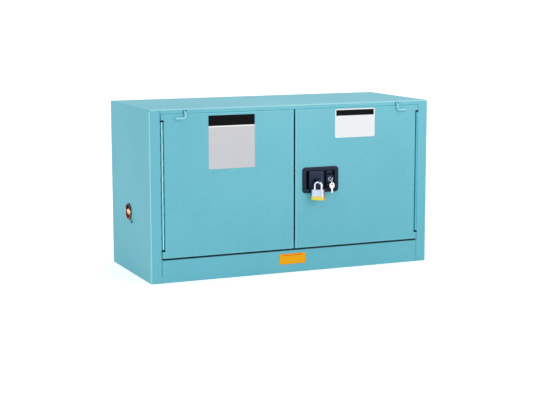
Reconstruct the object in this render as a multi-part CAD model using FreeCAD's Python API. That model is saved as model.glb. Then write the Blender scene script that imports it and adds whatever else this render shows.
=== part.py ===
"""Double-wall steel safety cabinet with two hinged doors, a paddle latch and a padlock.

Millimetres. The origin is the middle of the footprint on the floor: +X to the right seen from the
front, +Y towards the back, +Z up, so the front face is at negative Y.
"""
import FreeCAD, Part
import math
import os

V = FreeCAD.Vector

# Overall sizes of the outer case
WIDTH = 1092.0
DEPTH = 457.0
HEIGHT = 610.0
SHEET = 1.2
BEND_R = 4.0
AIR_SPACE = 38.0

# Front frame round the doors
STILE_W = 39.0
TOP_RAIL_H = 15.5
SILL_RAIL_H = 82.5
REBATE_D = 13.0
JAMB_W = 20.0
JAMB_LIP = 10.0
SPACER_Y = 75.0
SILL_TOP_H = 113.0
SUMP_DEPTH = 59.0
BASE_RAISE = 20.0
FOOT_W = 22.0
RELIEF_R = 3.5
SEAM_GAP = 1.5

# Doors
DOOR_PROUD = 2.5
CENTRE_GAP = 6.0
CENTRE_EDGE_D = 5.0
CENTRE_STEP = 8.0
DOOR_TOP_GAP = 1.2
DOOR_BOTTOM_GAP = 4.8
DOOR_SIDE_GAP = 2.5
DOOR_CORNER_R = 1.5
DOOR_SEAT_GAP = 0.8
PAN_CLEAR = 4.0
PAN_EDGE_CLEAR = 3.6
PAN_BOTTOM_CLEAR = 7.0
PAN_CENTRE_INSET = 20.0
PAN_LIP = 6.0
STIFFENER_W = 50.0
DOOR_OPEN_ANGLE = 100.0

# Continuous hinges
AXIS_INSET = 6.0
AXIS_SET_BACK = 1.5
KNUCKLE_R = 3.2
HINGE_PIN_R = 1.5
RUN_FIT = 0.05
LEAF_T = 1.5
LEAF_REACH = 9.3
KNUCKLES = 17
KNUCKLE_GAP = 0.3
HINGE_NOTCH = 10.5
HINGE_END_GAP = 7.0
NOTCH_OVER = 3.0

# Door stay arms
STAY_ROD_R = 4.5
STAY_RADIUS = 85.0
STAY_BAR = 38.0
STAY_DROP = 20.3
STAY_OVER = 6.5
STAY_BEND_R = 8.0
STAY_TAIL_ANGLE = 113.0
STAY_NOTCH_SIDE = 2.5
STAY_NOTCH_TOP = 1.0
STAY_STOP_LONG = 22.0
STAY_STOP_THICK = 6.0

# Shelf, clips and trays
SHELF_Z = 320.0
SHELF_T = 1.5
SHELF_LIP = 25.0
SHELF_SIDE_CLEAR = 5.6
SHELF_FRONT_CLEAR = 12.0
SHELF_BACK_CLEAR = 6.0
CLIP_Y = 130.0
CLIP_W = 24.0
CLIP_REACH = 17.0
CLIP_T = 2.0
CLIP_TAIL = 22.0
CLIP_NECK = 4.0
SLOT_PITCH = 38.0
SLOT_COUNT = 4
SLOT_H = 14.0
SLOT_CLEAR = 0.5
TRAY_WALL = 3.0
TRAY_RIM = 6.0
TRAY_DRAFT = 5.0
TRAY_CORNER_R = 18.0
SHELF_TRAY_H = 35.0
SHELF_TRAY_CLEAR = 14.0
FLOOR_TRAY_H = 42.0
FLOOR_TRAY_CLEAR = 10.0
FLOOR_TRAY_FRONT = 3.0

# Vents in the side walls
VENT_Y = 20.0
VENT_LOW_Z = 222.0
VENT_HIGH_Z = 470.0
VENT_HOLE_R = 31.0
BUNG_R = 35.0
BUNG_BORE_R = 30.0
BUNG_LEDGE_R = 23.0
BUNG_LEDGE_T = 4.0
PLUG_PROUD = 5.0
PLUG_T = 20.0
PLUG_CUP_R = 25.0
PLUG_CUP_DEPTH = 9.0
PLUG_BAR_W = 9.0
PLUG_BAR_RISE = 6.0
SEAL_R = 28.0
SEAL_T = 2.0
SCREEN_R = 34.0
SCREEN_T = 2.5
SCREEN_RING = 5.0
GROUND_Y = -12.0
GROUND_Z = 190.0
GROUND_R = 3.0
GROUND_HEAD_R = 6.5
GROUND_HEAD_T = 5.5
GROUND_WASHER_R = 8.0
GROUND_WASHER_T = 1.5
GROUND_NUT_T = 3.2
GROUND_SHANK = 9.6

# Handle set in the right door
HANDLE_X = 103.0
HANDLE_Z = 334.5
RIM_W = 144.0
RIM_H = 94.0
RIM_PROUD = 4.0
RIM_CORNER_R = 12.0
RIM_EDGE_R = 2.5
RECESS_W = 113.0
RECESS_H = 67.0
RECESS_D = 21.0
CUP_WALL = 2.5
CUP_FIT = 0.5
CLAMP_W = 10.0
CLAMP_T = 3.0
FINGER_SLOT = 12.0
PADDLE_W = 57.0
PADDLE_SIDE_GAP = 2.5
PADDLE_SET_BACK = 3.0
PADDLE_T = 3.0
PADDLE_LIP = 8.0
PADDLE_PULL_ANGLE = 38.0
PADDLE_PIN_R = 2.5
PADDLE_PIN_DEPTH = 9.0
BARREL_R = 4.5
CRANK_W = 4.0
CRANK_H = 14.0
CRANK_LENGTH = 25.0

# Padlock and the tab it hangs from
TAB_X = 82.0
TAB_T = 3.0
TAB_H = 22.0
TAB_EYE_H = 11.0
TAB_EYE_W = 16.5
TAB_NOSE = 5.0
TAB_EYE_FIT = 0.6
PADLOCK_OUT = 26.5
PADLOCK_TWIST = 41.0
CROWN_DROP = 5.5
SHACKLE_R = 3.5
SHACKLE_MEAN_R = 12.75
SHACKLE_GAP = 23.5
SHACKLE_FIT = 0.15
LONG_LEG_IN = 14.0
SHORT_LEG_IN = 8.0
CASE_W = 44.5
CASE_T = 23.0
CASE_H = 36.0
CASE_CORNER_R = 3.0
CASE_PLATES = 8
CASE_GROOVE = 0.5
BUMPER_H = 12.0
BUMPER_WALL = 1.3
RELEASE_TRAVEL = 9.0

# Lock cylinder, key, ring and spare key
LOCK_X = 141.5
LOCK_BOSS_W = 29.0
LOCK_BOSS_H = 31.0
LOCK_BOSS_BACK = 2.5
LOCK_R = 8.0
LOCK_BARREL_L = 30.0
LOCK_FLANGE_T = 2.0
PLUG_CORE_R = 5.5
KEYWAY_W = 2.3
KEYWAY_H = 7.0
KEY_T = 2.0
KEY_BLADE_H = 6.4
KEY_BLADE_L = 17.0
KEY_NECK = 2.0
KEY_BOW_R = 9.5
KEY_HOLE_R = 3.0
RING_R = 7.2
RING_CLEAR = 0.8
RING_WIRE_R = 0.7
CAM_L = 20.0
CAM_W = 9.0

# Latch train behind the handle
LINK_T = 2.5
LINK_GAP = 2.0
ROCKER_X = 75.0
ROCKER_ARM = 26.0
ROCKER_SIDE_ARM = 15.0
ROCKER_T = 2.5
ROCKER_HUB_R = 8.0
ROCKER_ARM_W = 9.0
LATCH_PIN_R = 2.2
LATCH_LAYER_GAP = 0.5
LATCH_ROD_R = 3.0
BOLT_THROW = 8.0
LINK_TRAVEL = 13.9
GUIDE_HALF = 7.0
GUIDE_H = 14.0
GUIDE_END = 38.0
COLLAR_R = 5.0
COLLAR_H = 4.0
SPRING_L = 26.0
SPRING_R = 5.0
SPRING_WIRE_R = 0.6
SPRING_TURNS = 6
CENTRE_BOLT_H = 12.0
CENTRE_BOLT_NOSE = 15.0
STRIKE_T = 1.5
STRIKE_HALF = 8.0

# Label plates
LABEL_T = 0.4
LEFT_LABEL_X = -242.0
LEFT_LABEL_DROP = 104.6
LEFT_LABEL_W = 175.0
LEFT_LABEL_H = 189.0
RIGHT_LABEL_X = 242.5
RIGHT_LABEL_DROP = 57.0
RIGHT_LABEL_W = 162.0
RIGHT_LABEL_H = 105.0
RIGHT_LABEL_R = 6.0
SILL_LABEL_X = -6.0
SILL_LABEL_Z = 50.0
SILL_LABEL_W = 104.0
SILL_LABEL_H = 38.5

# Places worked out from the sizes above
HALF_W = WIDTH / 2
HALF_D = DEPTH / 2
FRONT = -HALF_D
STILE_X = HALF_W - STILE_W
OPEN_X = STILE_X - JAMB_W
REBATE_Y = FRONT + REBATE_D
REBATE_BACK = REBATE_Y + SHEET
LINER_X = HALF_W - SHEET - AIR_SPACE
INSIDE_X = LINER_X - SHEET
LINER_Y = HALF_D - SHEET - AIR_SPACE
INSIDE_Y = LINER_Y - SHEET
CEILING_Z = HEIGHT - 2 * SHEET - AIR_SPACE
RAIL_Z = HEIGHT - TOP_RAIL_H
FLOOR_Z = SILL_TOP_H - SUMP_DEPTH
AXIS_X = STILE_X - AXIS_INSET
AXIS_Y = FRONT + AXIS_SET_BACK
DOOR_FRONT = FRONT - DOOR_PROUD
DOOR_IN = DOOR_FRONT + SHEET
DOOR_LIP_BACK = REBATE_Y - DOOR_SEAT_GAP - SHEET
DOOR_X0 = CENTRE_GAP / 2
DOOR_X1 = STILE_X - DOOR_SIDE_GAP
DOOR_Z0 = SILL_RAIL_H + DOOR_BOTTOM_GAP
DOOR_Z1 = RAIL_Z - DOOR_TOP_GAP
NOTCH_X = DOOR_X1 - HINGE_NOTCH
NOTCH_Z0 = SILL_TOP_H - NOTCH_OVER / 3
NOTCH_Z1 = CEILING_Z + NOTCH_OVER
PAN_X0 = PAN_CENTRE_INSET
PAN_X1 = OPEN_X - PAN_CLEAR
PAN_Z0 = SILL_TOP_H + PAN_BOTTOM_CLEAR
PAN_Z1 = CEILING_Z - PAN_EDGE_CLEAR
PAN_FRONT = DOOR_IN + AIR_SPACE
PAN_BACK = PAN_FRONT + SHEET
HINGE_Z0 = SILL_TOP_H + HINGE_END_GAP - 1.0
HINGE_Z1 = CEILING_Z - HINGE_END_GAP / 2
RIM_FRONT = DOOR_FRONT - RIM_PROUD
RECESS_BACK = RIM_FRONT + RECESS_D
CUP_BACK = RECESS_BACK + CUP_WALL
RECESS_X0 = HANDLE_X - RECESS_W / 2
RECESS_X1 = HANDLE_X + RECESS_W / 2
RECESS_Z0 = HANDLE_Z - RECESS_H / 2
RECESS_Z1 = HANDLE_Z + RECESS_H / 2
PADDLE_X0 = RECESS_X0 + FINGER_SLOT
PADDLE_PIN_X = PADDLE_X0 + PADDLE_W + 1.0
PADDLE_Y = RIM_FRONT + PADDLE_SET_BACK
PIN_Y = RIM_FRONT + PADDLE_PIN_DEPTH
LINK_Y0 = CUP_BACK + LINK_GAP
LINK_Y1 = LINK_Y0 + LINK_T
ROCKER_Y0 = LINK_Y1 + LATCH_LAYER_GAP
ROCKER_Y1 = ROCKER_Y0 + ROCKER_T
ROD_Y = ROCKER_Y1 + LATCH_LAYER_GAP + LATCH_ROD_R
TOP_ROD_X = ROCKER_X + ROCKER_SIDE_ARM
BOTTOM_ROD_X = ROCKER_X - ROCKER_SIDE_ARM
CROWN_Y = RIM_FRONT - PADLOCK_OUT + RIM_PROUD
CROWN_Z = HANDLE_Z - CROWN_DROP
LEFT_LABEL_Z = DOOR_Z1 - LEFT_LABEL_DROP
RIGHT_LABEL_Z = DOOR_Z1 - RIGHT_LABEL_DROP
STAY_Z = DOOR_Z1 + STAY_OVER
SHELF_FRONT = PAN_BACK + SHELF_FRONT_CLEAR
SHELF_BACK = INSIDE_Y - SHELF_BACK_CLEAR
SHELF_HALF = INSIDE_X - SHELF_SIDE_CLEAR


def box(x0, x1, y0, y1, z0, z1):
    """A block between two corners, given in any order."""
    low = V(min(x0, x1), min(y0, y1), min(z0, z1))
    return Part.makeBox(abs(x1 - x0), abs(y1 - y0), abs(z1 - z0), low)


def bar(p, q, r):
    """A round bar of radius r from point p to point q."""
    return Part.makeCylinder(r, (q - p).Length, p, q - p)


def join(first, *others):
    """The union of the shapes, with the seams on shared faces removed."""
    return first.fuse(list(others)).removeSplitter()


def group(solids):
    """Several solids that share one node."""
    return Part.makeCompound(solids)


def mirrored(shape):
    """The same shape on the other side of the middle plane."""
    return shape.mirror(V(0, 0, 0), V(1, 0, 0))


def both_sides(shape):
    """A shape and its mirror image as one group."""
    return group([shape, mirrored(shape)])


def extrude_y(points, y0, y1):
    """A flat outline of (x, z) points carried from y0 to y1."""
    wire = Part.makePolygon([V(x, y0, z) for x, z in points + points[:1]])
    return Part.Face(wire).extrude(V(0, y1 - y0, 0))


def extrude_z(points, z0, z1):
    """A flat outline of (x, y) points carried from z0 to z1."""
    wire = Part.makePolygon([V(x, y, z0) for x, y in points + points[:1]])
    return Part.Face(wire).extrude(V(0, 0, z1 - z0))


def edges_along(shape, axis):
    """The straight edges that run along one of the axes X, Y or Z."""
    found = []
    for edge in shape.Edges:
        if isinstance(edge.Curve, Part.Line) or edge.Curve.TypeId == "Part::GeomLine":
            way = edge.Vertexes[-1].Point - edge.Vertexes[0].Point
            if abs(way.normalize().dot(axis)) > 0.999:
                found.append(edge)
    return found


def round_block(x0, x1, y0, y1, z0, z1, r, axis):
    """A block whose four edges along one axis are rounded."""
    block = box(x0, x1, y0, y1, z0, z1)
    return block.makeFillet(r, edges_along(block, axis))


def edges_on(shape, y):
    """The edges that lie in the plane at the given y."""
    return [edge for edge in shape.Edges
            if all(abs(vertex.Point.y - y) < 1e-6 for vertex in edge.Vertexes)]


def channel_z(x0, x1, y0, y1, z0, z1):
    """An upright channel: a web on its low-x side and two flanges along y0 and y1."""
    return join(box(x0, x0 + SHEET, y0, y1, z0, z1),
                box(x0, x1, y0, y0 + SHEET, z0, z1),
                box(x0, x1, y1 - SHEET, y1, z0, z1))


def channel_y(x0, x1, z0, z1, y0, y1):
    """A lying channel: a web on its low-x side and flanges at z0 and z1."""
    return join(box(x0, x0 + SHEET, y0, y1, z0, z1),
                box(x0, x1, y0, y1, z0, z0 + SHEET),
                box(x0, x1, y0, y1, z1 - SHEET, z1))


def vent_places():
    """Side sign and height of each vent."""
    return ((-1, VENT_LOW_Z), (1, VENT_HIGH_Z))


# Outer case

def rounded_case(inset, radius, z_low):
    """The whole outer case as one block, set in by a distance, its outer bends rounded."""
    block = box(-HALF_W + inset, HALF_W - inset, -HALF_D + inset, HALF_D - inset, z_low, HEIGHT - inset)
    top = [edge for edge in block.Edges
           if all(abs(vertex.Point.z - (HEIGHT - inset)) < 1e-6 for vertex in edge.Vertexes)]
    return block.makeFillet(radius, edges_along(block, V(0, 0, 1)) + top)


def case_shell():
    """The outer skin of the case as one closed bend all round, open at the bottom."""
    return rounded_case(0.0, BEND_R, 0.0).cut(rounded_case(SHEET, BEND_R - SHEET, -SHEET))


CASE = case_shell()
TOP_SEAM_Z = HEIGHT - BEND_R - 1.0


def side_panel(side, vent_z):
    """One side wall with its front stile, back return, stile return and foot flange."""
    panel = CASE.common(box(STILE_X, HALF_W + SHEET, -HALF_D, HALF_D, 0, TOP_SEAM_Z))
    stile_return = box(STILE_X, STILE_X + SHEET, FRONT, REBATE_BACK, 0, TOP_SEAM_Z)
    foot = box(HALF_W - FOOT_W, HALF_W - SHEET, -HALF_D + BEND_R, HALF_D - BEND_R, 0, SHEET)
    panel = join(panel, stile_return, foot)
    panel = panel.cut(bar(V(HALF_W - AIR_SPACE / 2, VENT_Y, vent_z), V(HALF_W + 1, VENT_Y, vent_z), VENT_HOLE_R))
    if side < 0:
        panel = mirrored(panel)
        panel = panel.cut(bar(V(-HALF_W - 1, GROUND_Y, GROUND_Z), V(-HALF_W + 3, GROUND_Y, GROUND_Z), GROUND_R))
    return panel


def stay_notch():
    """The slot in the top rail that a stay arm passes through."""
    half = STAY_ROD_R + STAY_NOTCH_SIDE
    x = AXIS_X - STAY_RADIUS
    return box(x - half, x + half, FRONT - 1, REBATE_BACK + 1, RAIL_Z - 1, STAY_Z + STAY_ROD_R + STAY_NOTCH_TOP)


def top_panel():
    """The top sheet with its rounded edges and the front rail between the stiles."""
    panel = CASE.common(box(-HALF_W, HALF_W, -HALF_D, HALF_D, TOP_SEAM_Z, HEIGHT))
    end = STILE_X - SEAM_GAP
    rail = CASE.common(box(-end, end, FRONT, FRONT + SHEET, RAIL_Z, TOP_SEAM_Z))
    rail_return = box(-STILE_X, STILE_X, FRONT, REBATE_BACK, RAIL_Z, RAIL_Z + SHEET)
    panel = join(panel, rail, rail_return)
    return panel.cut([stay_notch(), mirrored(stay_notch())])


def back_panel():
    """The outer back sheet between the returns of the side walls."""
    return CASE.common(box(-STILE_X, STILE_X, 0, HALF_D, 0, TOP_SEAM_Z))


def bottom_panel():
    """The outer bottom sheet, raised above the floor inside the walls."""
    sheet = box(-HALF_W + SHEET, HALF_W - SHEET, FRONT + SHEET, HALF_D - SHEET, BASE_RAISE, BASE_RAISE + SHEET)
    corner = box(STILE_X, STILE_X + SHEET, FRONT, REBATE_BACK, 0, SILL_TOP_H)
    bends = box(-HALF_W, HALF_W, -HALF_D, HALF_D, 0, SILL_TOP_H).cut(rounded_case(SHEET, BEND_R - SHEET, 0.0))
    return sheet.cut([corner, mirrored(corner), bends])


def bottom_bolt_notch():
    """The open-fronted catch in the sill for the bottom latch rod."""
    return box(BOTTOM_ROD_X - STRIKE_HALF, BOTTOM_ROD_X + STRIKE_HALF,
               REBATE_Y - 1, REBATE_BACK + SHEET + 1, SILL_TOP_H - BOLT_THROW - 2, SILL_TOP_H + 1)


def top_bolt_notch():
    """The open-fronted catch in the head for the top latch rod."""
    return box(TOP_ROD_X - STRIKE_HALF, TOP_ROD_X + STRIKE_HALF,
               REBATE_Y - 1, ROD_Y + LATCH_ROD_R + 3, CEILING_Z - STRIKE_T - 1, CEILING_Z + BOLT_THROW + 3)


def corner_reliefs():
    """Round reliefs where the jamb, the head and the sill meet at the hinge ends."""
    holes = []
    for z in (SILL_TOP_H + 1.5, CEILING_Z + 1.5):
        hole = bar(V(AXIS_X, REBATE_Y - 1, z), V(AXIS_X, REBATE_BACK + 1, z), RELIEF_R)
        holes += [hole, mirrored(hole)]
    return holes


def sill_rail():
    """The front rail under the doors with the rebated dam that stands behind the doors."""
    end = STILE_X - SEAM_GAP
    rail = box(-end, end, FRONT, FRONT + SHEET, 0, SILL_RAIL_H)
    shelf = box(-STILE_X, STILE_X, FRONT, REBATE_BACK, SILL_RAIL_H - SHEET, SILL_RAIL_H)
    dam = box(-STILE_X, STILE_X, REBATE_Y, REBATE_BACK, SILL_RAIL_H - SHEET, SILL_TOP_H)
    foot = box(-STILE_X, STILE_X, FRONT, FRONT + FOOT_W, 0, SHEET)
    return join(rail, shelf, dam, foot).cut([bottom_bolt_notch()] + corner_reliefs())


def head_jamb():
    """The flange above the opening that the doors close against."""
    flange = box(-STILE_X, STILE_X, REBATE_Y, REBATE_BACK, CEILING_Z, RAIL_Z)
    notches = [top_bolt_notch(), stay_notch(), mirrored(stay_notch())]
    return flange.cut(notches + corner_reliefs())


def side_jambs():
    """The flanges at the sides of the opening, each with a lip turned inwards."""
    flange = box(OPEN_X, STILE_X, REBATE_Y, REBATE_BACK, SILL_TOP_H, CEILING_Z)
    lip = box(OPEN_X, OPEN_X + SHEET, REBATE_Y, REBATE_BACK + JAMB_LIP, SILL_TOP_H, CEILING_Z)
    return both_sides(join(flange, lip).cut(corner_reliefs()))


# Inner liner

def clip_slot_heights():
    """Centre heights of the slots for the shelf clips, the used one among them."""
    used = SHELF_Z - SHELF_T - SHELF_LIP - CLIP_T / 2
    return [used + SLOT_PITCH * (i - 1) for i in range(SLOT_COUNT)]


def liner_sides():
    """The inner side walls with the vent holes and the slots for the shelf clips."""
    walls = []
    for side, vent_z in vent_places():
        wall = box(INSIDE_X, LINER_X, REBATE_BACK, INSIDE_Y, SILL_TOP_H, CEILING_Z)
        cuts = [bar(V(INSIDE_X - 1, VENT_Y, vent_z), V(LINER_X + 1, VENT_Y, vent_z), BUNG_LEDGE_R)]
        half = CLIP_NECK / 2 + SLOT_CLEAR
        for z in clip_slot_heights():
            for y in (-CLIP_Y, CLIP_Y):
                cuts.append(box(INSIDE_X - 1, LINER_X + 1, y - half, y + half, z - SLOT_H / 2, z + SLOT_H / 2))
        wall = wall.cut(cuts)
        walls.append(wall if side > 0 else mirrored(wall))
    return group(walls)


def liner_back():
    """The inner back wall."""
    return box(-LINER_X, LINER_X, INSIDE_Y, LINER_Y, SILL_TOP_H, CEILING_Z)


def liner_top():
    """The inner ceiling, slotted for the top latch rod."""
    sheet = box(-LINER_X, LINER_X, REBATE_BACK, LINER_Y, CEILING_Z, CEILING_Z + SHEET)
    return sheet.cut(top_bolt_notch())


def sump_pan():
    """The leak-proof floor pan whose walls carry the liner."""
    pan = box(-LINER_X, LINER_X, REBATE_BACK, LINER_Y, FLOOR_Z - SHEET, SILL_TOP_H)
    inside = box(-INSIDE_X, INSIDE_X, REBATE_BACK + SHEET, INSIDE_Y, FLOOR_Z, SILL_TOP_H + 1)
    return pan.cut([inside, bottom_bolt_notch()])


def liner_spacers():
    """Channels in the air space that hold the liner off the outer sheets."""
    solids = []
    web = AIR_SPACE * 0.7
    z0, z1 = SILL_TOP_H, CEILING_Z - SHELF_LIP
    for x in (-WIDTH / 4, WIDTH / 4):
        solids.append(channel_z(x, x + web, LINER_Y, HALF_D - SHEET, z0, z1))
    for y in (-SPACER_Y - web, SPACER_Y):
        upright = join(box(LINER_X, HALF_W - SHEET, y, y + SHEET, z0, z1),
                       box(LINER_X, LINER_X + SHEET, y, y + web, z0, z1),
                       box(HALF_W - 2 * SHEET, HALF_W - SHEET, y, y + web, z0, z1))
        solids += [upright, mirrored(upright)]
    for x in (-WIDTH / 4, 0.0, WIDTH / 4):
        solids.append(channel_y(x - web / 2, x + web / 2, BASE_RAISE + SHEET, FLOOR_Z - SHEET,
                                REBATE_BACK + SHELF_LIP, LINER_Y - SHELF_LIP))
        solids.append(channel_y(x - web / 2, x + web / 2, CEILING_Z + SHEET, HEIGHT - SHEET,
                                REBATE_BACK + SHELF_LIP, LINER_Y - SHELF_LIP))
    return group(solids)


# Vents and ground screw

def vent_bung(side, z):
    """A bored bung between the two walls, with a ledge for the plug's seal."""
    inner = HALF_W - SHEET
    seat = HALF_W + PLUG_PROUD - PLUG_T - SEAL_T
    body = bar(V(LINER_X, VENT_Y, z), V(inner, VENT_Y, z), BUNG_R)
    mouth = bar(V(seat, VENT_Y, z), V(inner + 1, VENT_Y, z), BUNG_BORE_R)
    throat = bar(V(LINER_X - 1, VENT_Y, z), V(inner, VENT_Y, z), BUNG_LEDGE_R)
    relief = bar(V(LINER_X - 1, VENT_Y, z), V(seat - BUNG_LEDGE_T, VENT_Y, z), BUNG_BORE_R - SHEET)
    bung = body.cut([mouth, throat, relief])
    return bung if side > 0 else mirrored(bung)


def flame_screen(side, z):
    """A fine screen in a ring over the vent, inside the cabinet."""
    x = INSIDE_X
    disc = bar(V(x - SCREEN_T / 2, VENT_Y, z), V(x, VENT_Y, z), SCREEN_R)
    ring = bar(V(x - SCREEN_T, VENT_Y, z), V(x, VENT_Y, z), SCREEN_R)
    hole = bar(V(x - SCREEN_T, VENT_Y, z), V(x, VENT_Y, z), SCREEN_R - SCREEN_RING)
    screen = join(disc, ring.cut(hole))
    return screen if side > 0 else mirrored(screen)


def vent_plug(side, z):
    """A round plug with a cupped face and a grip bar across the cup."""
    outer = HALF_W + PLUG_PROUD
    plug = bar(V(outer - PLUG_T, VENT_Y, z), V(outer, VENT_Y, z), BUNG_BORE_R - RUN_FIT)
    cup = bar(V(outer - PLUG_CUP_DEPTH, VENT_Y, z), V(outer + 1, VENT_Y, z), PLUG_CUP_R)
    floor = outer - PLUG_CUP_DEPTH
    grip = box(floor, floor + PLUG_BAR_RISE, VENT_Y - PLUG_CUP_R - 1, VENT_Y + PLUG_CUP_R + 1,
               z - PLUG_BAR_W / 2, z + PLUG_BAR_W / 2)
    cross = box(floor, floor + PLUG_BAR_RISE / 2, VENT_Y - PLUG_BAR_W / 2, VENT_Y + PLUG_BAR_W / 2,
                z - PLUG_CUP_R - 1, z + PLUG_CUP_R + 1)
    plug = join(plug.cut(cup), grip, cross)
    return plug if side > 0 else mirrored(plug)


def plug_seal(side, z):
    """The flat ring that the plug closes on."""
    back = HALF_W + PLUG_PROUD - PLUG_T
    ring = bar(V(back - SEAL_T, VENT_Y, z), V(back, VENT_Y, z), SEAL_R)
    ring = ring.cut(bar(V(back - SEAL_T - 1, VENT_Y, z), V(back + 1, VENT_Y, z), BUNG_LEDGE_R))
    return ring if side > 0 else mirrored(ring)


def ground_hexagon(x, thickness):
    """A hexagon across the ground screw's axis, from a plane to the right."""
    corners = [V(x, GROUND_Y + GROUND_HEAD_R * math.cos(math.radians(60 * i)),
                 GROUND_Z + GROUND_HEAD_R * math.sin(math.radians(60 * i))) for i in range(6)]
    return Part.Face(Part.makePolygon(corners + corners[:1])).extrude(V(thickness, 0, 0))


def ground_screw():
    """A slotted hexagon ground screw on a washer, through the left wall with its nut inside."""
    x = -HALF_W
    washer = bar(V(x, GROUND_Y, GROUND_Z), V(x - GROUND_WASHER_T, GROUND_Y, GROUND_Z), GROUND_WASHER_R)
    top = x - GROUND_WASHER_T - GROUND_HEAD_T
    head = ground_hexagon(top, GROUND_HEAD_T)
    head = head.cut(box(top - 1, top + SHEET, GROUND_Y - GROUND_HEAD_R, GROUND_Y + GROUND_HEAD_R,
                        GROUND_Z - SHEET / 2, GROUND_Z + SHEET / 2))
    shank = bar(V(x, GROUND_Y, GROUND_Z), V(x + GROUND_SHANK, GROUND_Y, GROUND_Z), GROUND_R - RUN_FIT)
    return join(head, washer, shank, ground_hexagon(x + SHEET, GROUND_NUT_T))


# Hinges and stays, drawn for the right side

def knuckle_spans():
    """The height range of each hinge knuckle, the frame's first and then turn about."""
    pitch = (HINGE_Z1 - HINGE_Z0) / KNUCKLES
    spans = []
    for i in range(KNUCKLES):
        z = HINGE_Z0 + i * pitch
        spans.append((i % 2, z + KNUCKLE_GAP / 2, z + pitch - KNUCKLE_GAP / 2))
    return spans


def hinge_leaf(owner, leaf_x0, leaf_x1):
    """A leaf with every second knuckle: owner 0 is the frame's, owner 1 the door's."""
    tab_y1 = AXIS_Y + KNUCKLE_R
    tab_y0 = tab_y1 - LEAF_T
    pieces = [box(leaf_x0, leaf_x1, tab_y0, tab_y0 + LEAF_REACH, HINGE_Z0, HINGE_Z1)]
    far = leaf_x1 if owner == 0 else leaf_x0
    for which, z0, z1 in knuckle_spans():
        if which == owner:
            pieces.append(box(AXIS_X, far, tab_y0, tab_y1, z0, z1))
            pieces.append(bar(V(AXIS_X, AXIS_Y, z0), V(AXIS_X, AXIS_Y, z1), KNUCKLE_R))
    leaf = join(*pieces)
    bore = bar(V(AXIS_X, AXIS_Y, HINGE_Z0 - 1), V(AXIS_X, AXIS_Y, HINGE_Z1 + 1), HINGE_PIN_R + RUN_FIT)
    leaf = leaf.cut(bore)
    clear = []
    for which, z0, z1 in knuckle_spans():
        if which != owner:
            clear.append(bar(V(AXIS_X, AXIS_Y, z0 - KNUCKLE_GAP / 2), V(AXIS_X, AXIS_Y, z1 + KNUCKLE_GAP / 2),
                             KNUCKLE_R + KNUCKLE_GAP))
    return leaf.cut(clear)


def frame_leaf():
    """The leaf that is welded inside the stile's return."""
    return hinge_leaf(0, STILE_X - LEAF_T, STILE_X)


def door_leaf():
    """The leaf that is welded to the door's edge flange."""
    return hinge_leaf(1, NOTCH_X, NOTCH_X + LEAF_T)


def hinge_pin():
    """The long pin through one continuous hinge."""
    return bar(V(AXIS_X, AXIS_Y, HINGE_Z0), V(AXIS_X, AXIS_Y, HINGE_Z1), HINGE_PIN_R)


def stay_point(angle, z=STAY_Z):
    """A point on the stay's arc, at an angle from the notch round the hinge axis."""
    turn = math.radians(180.0 - angle)
    return V(AXIS_X + STAY_RADIUS * math.cos(turn), AXIS_Y + STAY_RADIUS * math.sin(turn), z)


def stay_arm():
    """A bent rod: a bar along the door's face, up over its top edge, and an arc about the hinge."""
    y = DOOR_FRONT - STAY_ROD_R
    x = AXIS_X - STAY_RADIUS
    z = DOOR_Z1 - STAY_DROP + STAY_ROD_R
    r = STAY_BEND_R
    over = AXIS_Y - y
    s = math.sqrt(0.5)
    start = V(x + STAY_BAR - STAY_ROD_R, y, z)
    edges = [
        Part.LineSegment(start, V(x + r, y, z)),
        Part.Arc(V(x + r, y, z), V(x + r - r * s, y, z + r - r * s), V(x, y, z + r)),
        Part.LineSegment(V(x, y, z + r), V(x, y, STAY_Z - over)),
        Part.Arc(V(x, y, STAY_Z - over), V(x, y + over - over * s, STAY_Z - over + over * s), stay_point(0)),
        Part.Arc(stay_point(0), stay_point(STAY_TAIL_ANGLE / 2), stay_point(STAY_TAIL_ANGLE)),
    ]
    path = Part.Wire([edge.toShape() for edge in edges])
    profile = Part.Wire([Part.Circle(start, V(-1, 0, 0), STAY_ROD_R).toShape()])
    rod = path.makePipeShell([profile], True, False)
    length = sum(edge.toShape().Length for edge in edges)
    print("stay rod volume", round(rod.Volume), "section times length",
          round(math.pi * STAY_ROD_R ** 2 * length))
    cap = Part.makeSphere(STAY_ROD_R, start)
    half = STAY_ROD_R - 0.1
    stop = box(-STAY_STOP_LONG / 2, STAY_STOP_LONG / 2, -STAY_STOP_THICK / 2, STAY_STOP_THICK / 2, -half, half)
    stop.rotate(V(0, 0, 0), V(0, 0, 1), 180.0 - STAY_TAIL_ANGLE)
    stop.translate(stay_point(STAY_TAIL_ANGLE))
    return join(rod, cap, stop)


# Doors, drawn for the right side

def door_outline(inset, step=0.0):
    """The door skin's outline set in by a distance, stepped at the centre, with the notch beside the hinge."""
    x0, x1 = DOOR_X0 + step + inset, DOOR_X1 - inset
    z0, z1 = DOOR_Z0 + inset, DOOR_Z1 - inset
    notch = NOTCH_X - inset
    low, high = NOTCH_Z0 - inset, NOTCH_Z1 + inset
    return [(x0, z0), (x1, z0), (x1, low), (notch, low), (notch, high), (x1, high), (x1, z1), (x0, z1)]


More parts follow.
